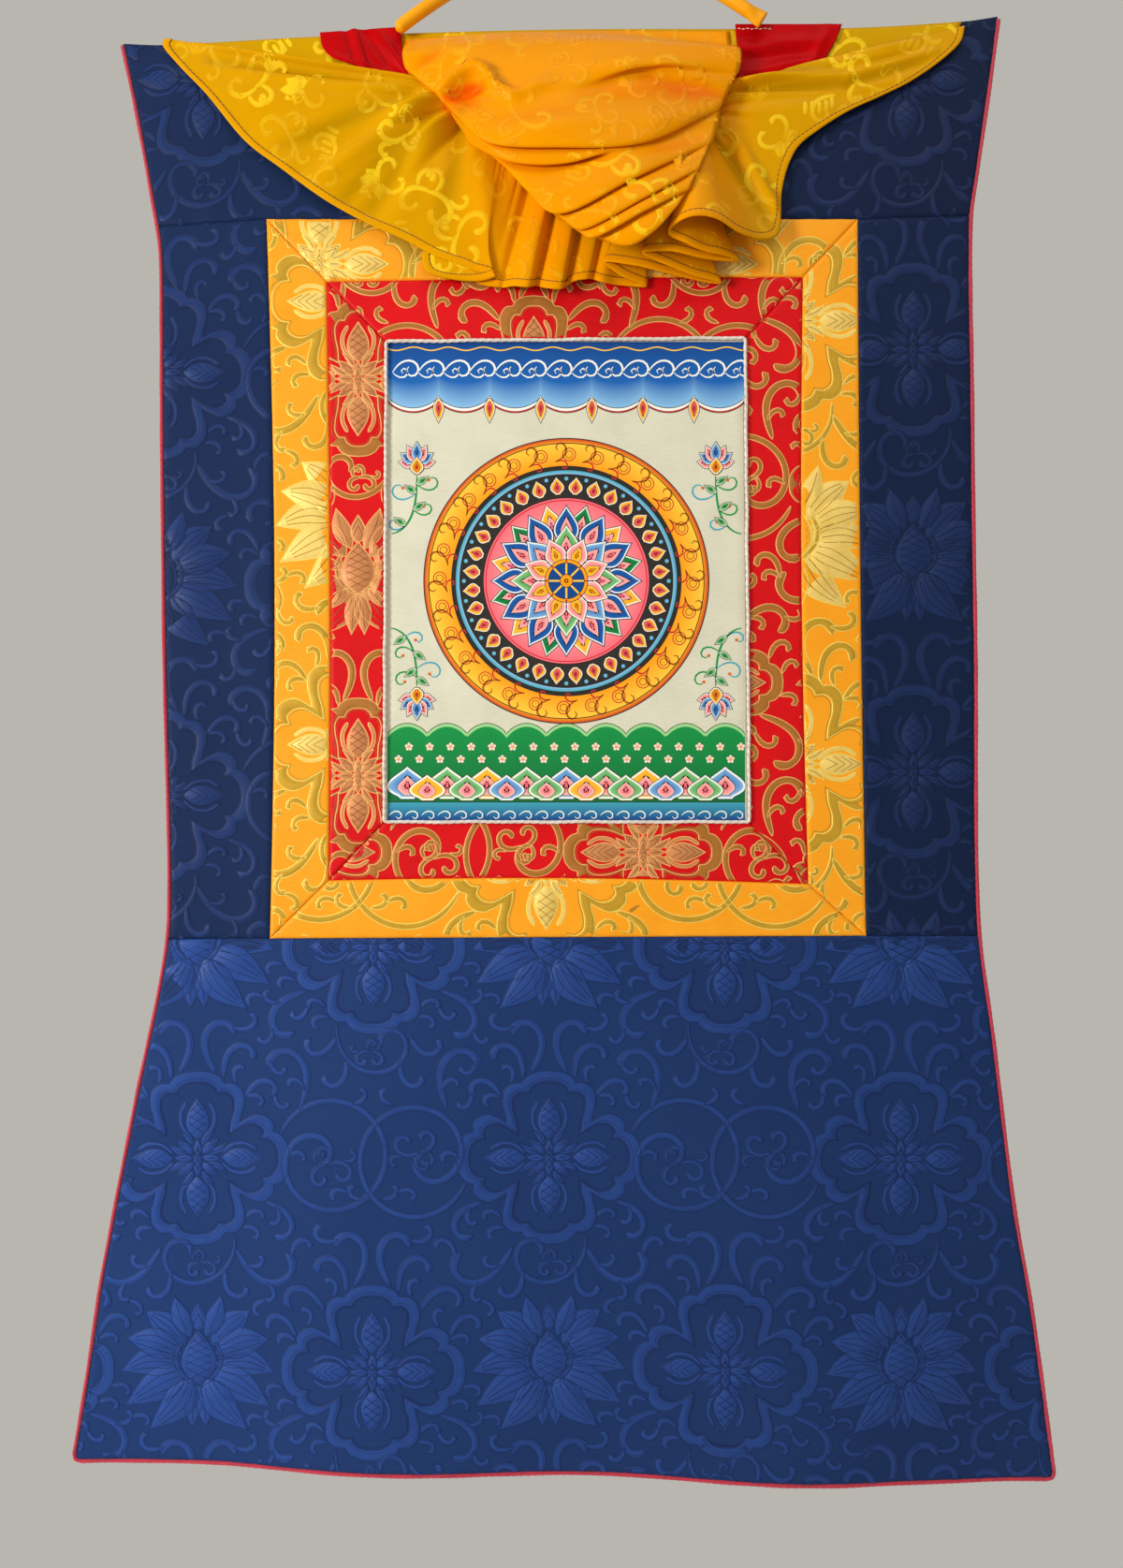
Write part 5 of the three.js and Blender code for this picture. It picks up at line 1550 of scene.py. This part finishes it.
VEIL_FALL = [  # each part: gather from and to (x, z), its out and share of the hem's out, late, and
    # the hem's folds: x, z, out and swell. From the left tip round to the right one.
    ((-95, -44), (-45, -72), 7, 0.35, 1, [
        (-286, -9, 2, 2), (-288, -13, 2, -1), (-276, -29, 4.2, 2.5), (-256, -50, 4.6, -1),
        (-227, -85, 5, 5), (-202, -104, 5, -2.5), (-169, -128, 6, 7), (-138, -145, 6, -3),
        (-114, -156, 7, 3), (-90, -169, 8, 3), (-66, -178, 9, 2),
    ]),
    ((-42, -73), (-18, -76), 7, 0.35, 6, [
        (-62, -180, 9, 2), (-47, -184, 10.5, 2), (-62, -187, 8.6, 1), (-97, -179, 7.6, 1),
        (-99, -165, 7, 1), (-84, -172, 5, 1), (-60, -187, 4.8, 0), (-47, -190, 6, 0),
    ]),
    ((-12, -77), (67, -84), 4, 0.35, 1, [
        (-42, -190, 5, -1), (-34, -192, 12, 2), (-24, -194, 15, 2), (-18, -189, 6, -1),
        (-13, -193, 12, 1), (-1, -195, 14, 2), (3, -189, 5.5, -1), (9, -187, 9, 0),
        (18, -186, 10, 1), (22, -184, 5.5, 0), (28, -188, 10, 1), (40, -188, 5, 0), (61, -189, 4.2, 0),
    ]),
    ((68, -86), (104, -80), 3, 0.4, 1, [
        (44, -184, 9, 0), (30, -176, 14, 0), (53, -180, 17.5, 0), (83, -185, 12.5, 0),
        (107, -188, 8, 0), (114, -189, 9.5, 0), (107, -188, 12.5, 0), (95, -187, 16.5, 0),
        (76, -182, 21.5, 0), (57, -175, 25.5, 0), (75, -175, 29, 0), (102, -178, 23.5, 0),
        (126, -176, 15.5, 0), (115, -175, 22, 0), (101, -175, 28, 0), (88, -172, 33, 0),
        (74, -166, 36, 0), (79, -161, 40, 0), (90, -158, 44, 0), (106, -158, 41, 0),
        (124, -163, 31, 0), (140, -163, 21, 0), (152, -158, 15, 0), (156, -148, 11, 0),
    ]),
    ((105, -77), (117, -44), 5, 0.3, 1, [
        (157, -137, 8.5, 0), (158, -122, 6.5, 0), (162, -105, 6, 1), (170, -89, 6, 1),
        (185, -77, 6.5, 1), (207, -63, 6, 0), (230, -52, 5, -0.5), (252, -41, 5, 1.5),
        (276, -24, 5, 1), (288, -11, 3, 5), (291, 0, 2, 2),
    ]),
]
FALL_STEPS = 7  # between one fold of the hem and the next
PLEAT_DEPTH, PLEAT_REACH = 0.8, 0.3  # of the fine pleats by the ties, and the share of the fall they reach
FALL_FOLDS = [  # x1, z1, x2, z2, width, out of the folds that run out from the two ties
    (-90, -52, -174, -113, 6.5, 6.5), (-88, -62, -158, -130, 5.5, -4.0), (-98, -49, -196, -88, 6, -3.6),
    (-100, -45, -222, -58, 8, 3.4), (-104, -43, -262, -15, 2.8, 3.4), (-108, -48, -252, -26, 3.2, -3.4),
    (-84, -66, -118, -140, 9, 3.0), (-106, -88, -138, -138, 6, -2.4), (-70, -70, -84, -150, 8, -3.0),
    (-60, -84, -50, -170, 9, 2.8), (-196, -96, -216, -112, 9, 1.6), (-222, -50, -258, -52, 10, 1.4),
    (124, -43, 206, -39, 3, 3.6), (206, -39, 268, -20, 3, 3.2), (130, -38, 202, -31, 2.8, -2.6),
    (128, -49, 206, -45, 3.2, -3.0), (206, -45, 262, -28, 3.2, -2.0), (128, -58, 190, -60, 8, 1.6),
    (112, -84, 146, -140, 6, -3.4), (122, -80, 156, -138, 5, 3.4), (212, -22, 256, -12, 4, 1.8),
    (222, -30, 262, -18, 3.4, -1.6), (150, -22, 190, -8, 4, 1.2),
]
FESTOONS = [  # the top edge, heading, crown and each lip of the pouch, as (x, z, out) at five
    # stations from the left tie to the right one, and the share of its width where the lip turns in
    ((-112, -10, 2.3), (-54, -6, 2.3), (7, -4, 2.3), (68, -4, 2.3), (121, -4, 2.3), 1, 1),
    ((-112, -13, 4), (-54, -8, 5), (7, -7, 5), (68, -10, 5), (122, -15, 4), 1, 1),
    ((-113, -27, 13), (-59, -31, 20), (3, -28, 21), (66, -25, 20), (127, -24, 14), 1, 1),
    ((-111, -37, 13), (-56, -52, 24), (3, -58, 30), (65, -45, 29), (126, -40, 16), 0.6, 1),
    ((-84, -63, 17), (-52, -101, 34), (0, -110, 43), (55, -106, 41), (112, -70, 20), 0, 1),
    ((-64, -94, 17), (-36, -114, 32), (3, -119, 39), (39, -110, 40), (110, -84, 22), 0, 0.7),
    ((-43, -104, 17), (-25, -134, 34), (-3, -156, 44), (49, -133, 46), (106, -96, 26), 0, 1),
    ((-4, -145, 22), (5, -161, 38), (14, -168, 46), (57, -147, 48), (96, -120, 36), 0, 1),
    ((4, -152, 24), (12, -165, 37), (21, -173, 45), (57, -156, 48), (88, -137, 40), 0, 1),
    ((12, -157, 26), (25, -169, 36), (46, -178, 44), (64, -168, 46), (80, -149, 42), 0, 1),
]
TUCK_RISE, TUCK_BACK = 5, 7  # how a lip turns under into the next fold
BELLY_AT, BELLY_OUT = 0.55, 2.5  # how a fold swells above its lip
CREASED_FROM = 3  # rows of FESTOONS before this one have no fold between them
LIP_FADE, LIP_FOLLOWS = 0.12, 0.2  # beyond its stretch, a lip fades and follows the next one
POUCH_MARGIN = 0.05  # share of the pouch's width that is drawn into each tie
POUCH_FOLDS = [  # x1, z1, x2, z2, width, out of the folds and hollows in the pouch's face
    (-88, -57, -63, -42, 3.6, 8.5), (-63, -42, -54, -46, 3.6, 8.0), (-54, -46, -47, -59, 3.8, 8.5),
    (-47, -59, -34, -68, 4.2, 7.0), (-34, -68, -12, -58, 5, 3.6), (-80, -62, -58, -58, 5, -10.0),
    (-76, -70, -60, -70, 6, -4.0),
    (-34, -72, 20, -44, 9, 2.4), (20, -44, 60, -40, 8, 1.6), (-30, -96, 60, -82, 10, 3.0),
    (-40, -88, 20, -80, 7, -2.2), (70, -46, 122, -52, 4, 3.4), (60, -52, 116, -62, 7, -3.4),
    (20, -64, 100, -66, 9, -2.0), (-90, -28, -40, -18, 7, 1.6), (-100, -36, -84, -26, 4, -3.0),
    (-104, -30, -92, -20, 3, 2.0), (60, -92, 108, -72, 6, 1.8), (-20, -22, 60, -18, 9, 1.2),
    (-10, -128, 60, -112, 6, 2.2), (-18, -142, 30, -134, 5, 1.4), (30, -122, 96, -98, 5, -1.6),
]
SHADE_FULL_DEPTH = 5  # depth at which the painted shade in a fold's hollows is full
POUCH_Y, LOW_POUCH = -25, (-95, -150)  # what stands out beyond this is the pouch, and its lower part, whose figure gets more painted highlight
SIDE_ROLL = np.array([(3.2, 1.5, 0), (4.0, 4.2, 0), (1.6, 6.8, 0)])  # how the pouch's left side turns in
HEADING_OUT, HEADING_DROP, HEADING_RIPPLE = 1.75, 27, 0.35
HEADING_SIDES = ((-286, 0.8), (290, -0.6))  # x at the top, and how much it moves for each mm down
HEM_WIDTH, SEAM_INSET = 6.2, 0.9  # of the hem's fold, and from its edge to its stitches
TIES = (-110, -10, 110, 150)  # where the silk between the ties sets in and ends, along X
HEM_TIES = (-100, -30, 110, 150)


def fall_grid():
    """Lower veil. Each line runs from its gather G to a fold P of the hem: G + (A - G) t +
    (P - A) t^late, less its swell sin(pi sqrt t) in depth, where A is P itself, or a point of the
    chord across the part where the hem alone turns back."""
    columns = []
    for start, end, gather_out, out_share, late, hem in VEIL_FALL:
        hem = np.array(hem, float)
        share = np.linspace(0, 1, len(hem))[:, None]
        point = hem[:, [0, 2, 1]] * [1, -1, 1]
        aim = between(point[:1], point[-1:], share) if late > 1 else point
        gather = between(start, end, share)
        depth = -gather_out + out_share * aim[:, 1:2]
        late = np.full((len(hem), 1), late)
        columns.append(np.hstack([gather[:, :1], depth, gather[:, 1:], aim, point, late, hem[:, 3:]]))
    columns = np.concatenate(columns)
    smooth = spline(columns[:, :9], FALL_STEPS)
    at = np.arange(len(smooth)) / FALL_STEPS
    late, swell = (np.interp(at, np.arange(len(columns)), columns[:, k]) for k in (9, 10))
    gather, aim, point = smooth[:, 0:3], smooth[:, 3:6], smooth[:, 6:9]
    t = (np.linspace(0, 1, 59) ** 0.9)[:, None]
    grid = between(gather, aim, t[..., None]) + (point - aim) * t[..., None] ** late[:, None]
    grid[..., 1] -= swell * np.sin(np.pi * np.sqrt(t))
    hem = lengths(point)
    pleats = np.sin(hem / 7.5 + 2 * np.sin(hem / 41)) + 0.5 * np.sin(hem / 3.7)
    grid[..., 1] -= PLEAT_DEPTH * bell(t / PLEAT_REACH) * smooth_step(0, 0.05, t) * pleats
    grid[..., 1] -= standing_out(grid[..., 0], grid[..., 2], FALL_FOLDS) * smooth_step(0, 0.08, 1 - t)
    return grid


def pouch_grid():
    """Pouch of silk in front of the ties: each lip turns back and up under itself, and the silk
    below it swells out again to the next lip."""
    lines = [spline(np.array(row[:5], float)[:, [0, 2, 1]] * [1, -1, 1], 16) for row in FESTOONS]
    share = np.linspace(0, 1, len(lines[0]))
    middle = np.sin(np.pi * (share + POUCH_MARGIN) / (1 + 2 * POUCH_MARGIN))

    def turn(row):
        start = smooth_step(row[5] - LIP_FADE, row[5] + LIP_FADE, share) if row[5] > 0 else 1
        end = 1 - smooth_step(row[6] - LIP_FADE, row[6] + LIP_FADE, share) if row[6] < 1 else 1
        return (start * end * middle)[:, None]

    controls = lines[:CREASED_FROM]
    for i in range(CREASED_FROM, len(lines)):
        turned = turn(FESTOONS[i])
        follow = lines[i] + (lines[min(i + 1, len(lines) - 1)] - lines[i]) * LIP_FOLLOWS * (1 - turned)
        under = follow + turned * [0, TUCK_BACK, TUCK_RISE]
        controls += [lines[i], under]
        if i + 1 < len(lines):
            belly = between(under, lines[i + 1], BELLY_AT)
            controls.append(belly - turn(FESTOONS[i + 1]) * [0, BELLY_OUT, 0])
    grid = spline(np.stack(controls), 7)
    grid[..., 1] -= standing_out(grid[..., 0], grid[..., 2], POUCH_FOLDS) * middle**0.5
    left, right = grid[:, :1] + SIDE_ROLL, grid[:, -1:] + SIDE_ROLL * [-1, 1, 1]
    return np.concatenate([left[:, ::-1], grid, right], axis=1)


def heading_grid():
    """Flat heading of the veil, sewn along the top edge behind the ribbons."""
    drop = np.linspace(1.5, HEADING_DROP, 14)[:, None]
    (x0, slant0), (x1, slant1) = HEADING_SIDES
    x = between(x0 + slant0 * drop, x1 + slant1 * drop, np.linspace(0, 1, 150))
    ripple = HEADING_RIPPLE * np.sin(x / 6 + 2 * np.sin(x / 23)) * smooth_step(3, 20, drop)
    return stacked(x, -HEADING_OUT - ripple, top_z(x) - drop)


def from_hem(grid, distance):
    """Line across the grid at a distance in millimetres up each column from its last row."""
    up = grid[::-1]
    along = lengths(up)
    columns = range(grid.shape[1])
    return stacked(*([np.interp(distance, along[:, j], up[:, j, k]) for j in columns] for k in range(3)))


def cloth_uv(grid):
    """UV in millimetres for both faces of a sheet: across along the last row, down each column."""
    return np.tile(stacked(lengths(grid[-1]), lengths(grid)).reshape(-1, 2), (2, 1))


def between_ties(x, ties):
    """1 in the stretch between the two ties, 0 beyond them."""
    return smooth_step(ties[0], ties[1], x) * (1 - smooth_step(ties[2], ties[3], x))


def make_veil():
    """One silk sheet, raised and gathered at two ties: flat heading, fall and pouch. Its colour is
    orange most in the pouch, least in the heading, and in the fall between the ties: the shot silk's
    change with the angle of the light, painted in part by part as painted sheen. The folds' hollows
    get painted shade, and its figure a painted highlight."""
    grids = heading, fall, pouch = heading_grid(), fall_grid(), pouch_grid()
    shells = [sheet_of(grid, SILK) for grid in grids]
    points, faces = joined(shells)
    # Painted sheen: the share of orange in the shot silk, set part by part and not by the angle of the
    # light.
    shot_sheen_share = np.concatenate([
        np.zeros(heading.size // 3 * 2),
        0.25 + 0.6 * between_ties(shells[1][0][:, 0], TIES),
        np.ones(pouch.size // 3 * 2),
    ])[:, None]
    x, y, z = points.T
    colour = between(SHOT_WEFT, SHOT_WARP, shot_sheen_share)
    # Painted shade: the hollows between folds are darkened, to deep orange in the pouch and to olive in the
    # fall.
    for folds, shade in ((POUCH_FOLDS, POUCH_HOLLOW_SHADE), (FALL_FOLDS, FALL_HOLLOW_SHADE)):
        hollow_shade = np.clip(-standing_out(x, z, folds) / SHADE_FULL_DEPTH, 0, 1)
        colour = between(colour, shade, hollow_shade[:, None])
    uv = np.concatenate([cloth_uv(grid) for grid in grids])
    veil = mesh_object("veil_cloth", points, faces, VEIL_SILK, "veil_silk", "veil", uv=uv, colour=colour)
    # Painted highlight: the figure's tone is lightened towards lemon yellow in patches, most on the heading
    # and on the fall beyond the ties, and on the lower pouch.
    highlight_patches = smooth_step(-0.4, 0.9, np.sin(x / 21 + 2 * np.sin(z / 19)))[:, None]
    lower_pouch_highlight = shot_sheen_share * ((y < POUCH_Y) * smooth_step(*LOW_POUCH, z))[:, None]
    highlight_share = (0.2 + 0.5 * (1 - shot_sheen_share) + 0.4 * lower_pouch_highlight) * (0.3 + 0.7 * highlight_patches)
    highlighted_tones = between(colour, PAINTED_HIGHLIGHT, highlight_share)
    pieces = [*hem_pieces(fall), veil_figure(points, np.concatenate(faces), highlighted_tones)]


def hem_pieces(fall):
    """Rolled hem along the fall's last row, a fold of cloth on both of its faces, with a dark row of
    stitches along the fold."""
    normals = grid_normals(fall)[-1]
    band = np.stack([from_hem(fall, distance) for distance in np.linspace(HEM_WIDTH, 0, 6)])
    rise = SILK / 2 + HEM_RISE
    shape = np.array([0.25, 1, 1, 1, 1, 0.4])[:, None, None] * rise
    # Painted sheen: the hem's share of orange, more between the ties.
    shot_sheen_share = between_ties(band[..., :1], HEM_TIES) * 0.5 + 0.4
    colour = np.tile(between(SHOT_WEFT, SHOT_WARP, shot_sheen_share).reshape(-1, 3), (2, 1))
    points, faces = slab(band - normals * shape, band + normals * shape)
    hem = mesh_object(
        "veil_hem", points, faces, VEIL_SILK, "veil_silk", "veil", uv=cloth_uv(band), colour=colour
    )
    line = resample(np.hstack([from_hem(fall, HEM_WIDTH - SEAM_INSET), normals]), STITCH_STEP)
    seam, out = line[:, :3], line[:, 3:]
    bare = np.floor(lengths(seam) / STITCH_STEP)[:-1] % STITCH_RUN == STITCH_RUN - 1
    down = unit(np.cross(np.gradient(seam, axis=0), out))
    kept = grid_faces(4, len(line))[np.tile(~bare, 3)]
    shapes = []
    for side, quads in ((-1, kept), (1, kept[:, ::-1])):
        rows = [
            seam + down * width * STITCH + out * side * (rise + height * STITCH)
            for width, height in ((-1, -0.3), (-0.6, 0.8), (0.6, 0.8), (1, -0.3))
        ]
        shapes.append((np.concatenate(rows), quads))
    return hem, mesh_object("veil_stitches", *joined(shapes), DARK_THREAD, "veil_silk", "veil")


def peony(x, z, turn, size):
    """Flower seen from the side: a fan of overlapping petals on two curled leaves."""
    part = Drawing()
    for k in (-2, 2, -1, 1, 0):
        way = heading_of(turn + 34 * k)
        part.petal(np.linspace(way * 2, way * (25 - 3 * abs(k)), 9) * size + [x, z], 15 * size)
    for side in (-1, 1):
        line = tendril(x, z, turn + 100 * side, 46 * size, 30 * side, 200 * side)
        part.float_band(line, swelling(line, 5.5 * size))
    return part


def comb(x, z, turn, size):
    """Wave of short bars side by side, over a curling tendril."""
    part = Drawing()
    along = heading_of(turn)
    up = turned_left(along)
    for k in range(5):
        foot = [x, z] + along * size * (k * 7 - 14) + up * size * 2 * math.sin(k * 1.2)
        part.float_band(np.linspace(foot, foot + (up * 13 + along * 4) * size, 7), 4 * size, BLOOM)
    line = tendril(x - along[0] * 18 * size, z - along[1] * 18 * size, turn - 10, 62 * size, 10, 280)
    part.float_band(line, swelling(line, 5 * size))
    return part


def veil_figure(points, faces, tones):
    """Tonal figure of the veil's damask: clouds, peonies and waves in staggered rows, carried
    straight back on to the front of the silk, and left off where it turns away. It takes the tone
    that the cloth has under it, with a painted highlight mixed in."""
    drawing = Drawing()
    for k, (j, i) in enumerate(itertools.product(range(MOTIF_ROWS), range(MOTIFS_IN_ROW)), 1):
        x = MOTIF_START[0] + MOTIF_PITCH[0] * i + STAGGER * (j % 2) + MOTIF_STRAY * math.sin(2.1 * k)
        z = MOTIF_START[1] + MOTIF_PITCH[1] * j + MOTIF_STRAY * math.sin(3.7 * k)
        kind = (k * 7 + j) % 5
        if kind == 0:
            drawing.add(peony(x, z, GOLDEN_TURN * k, 0.66))
        elif kind == 1:
            drawing.add(comb(x, z, GOLDEN_TURN * k, 0.72))
        else:
            drawing.add(cloud(x, z, GOLDEN_TURN * k, 0.5 + 0.08 * (k % 3), 1 if k % 2 else -1))
    flat, quads, kinds = drawing.whole()
    surface = BVHTree.FromPolygons(points.tolist(), faces.tolist())
    hits = [surface.ray_cast((float(x), -100.0, float(z)), (0, 1, 0)) for x, z in flat[:, :2]]
    y = np.array([hit[0].y if hit[0] else np.nan for hit in hits])
    tone = tones[faces[[hit[2] or 0 for hit in hits], 0]]
    kept = np.ptp(y[quads], axis=1) < VEIL_FIGURE_SPREAD
    used, quads = np.unique(quads[kept], return_inverse=True)
    laid = stacked(flat[:, 0], y - flat[:, 2] * VEIL_FIGURE_RISE, flat[:, 1])[used]
    return mesh_object(
        "veil_figure", laid, quads.reshape(-1, 4), VEIL_THREADS, "veil_silk", "veil",
        index=kinds[kept], uv=laid[:, [0, 2]], colour=tone[used],
    )


YELLOW_STARTS = {"top": (-175, -171), "right": (168, -212), "bottom": (-11, -606), "left": (-148, -198)}
RED_STARTS = {"top": (-20, -250), "right": (222, -330), "bottom": (59, -596), "left": (-147, -254)}

make_blue_panels()
make_frame(
    "yellow", YELLOW_OUTER, YELLOW_BOW, RED_OUTER, RED_BOW, YELLOW_SATIN, YELLOW_THREADS,
    YELLOW_STARTS, 1.05, REPEAT,
)
make_frame(
    "red", RED_OUTER, RED_BOW, RED_INNER, CANVAS_BOW, RED_SATIN, RED_THREADS,
    RED_STARTS, 0.94, SNUG_REPEAT,
)
make_canvas()
make_ribbons()
make_veil()
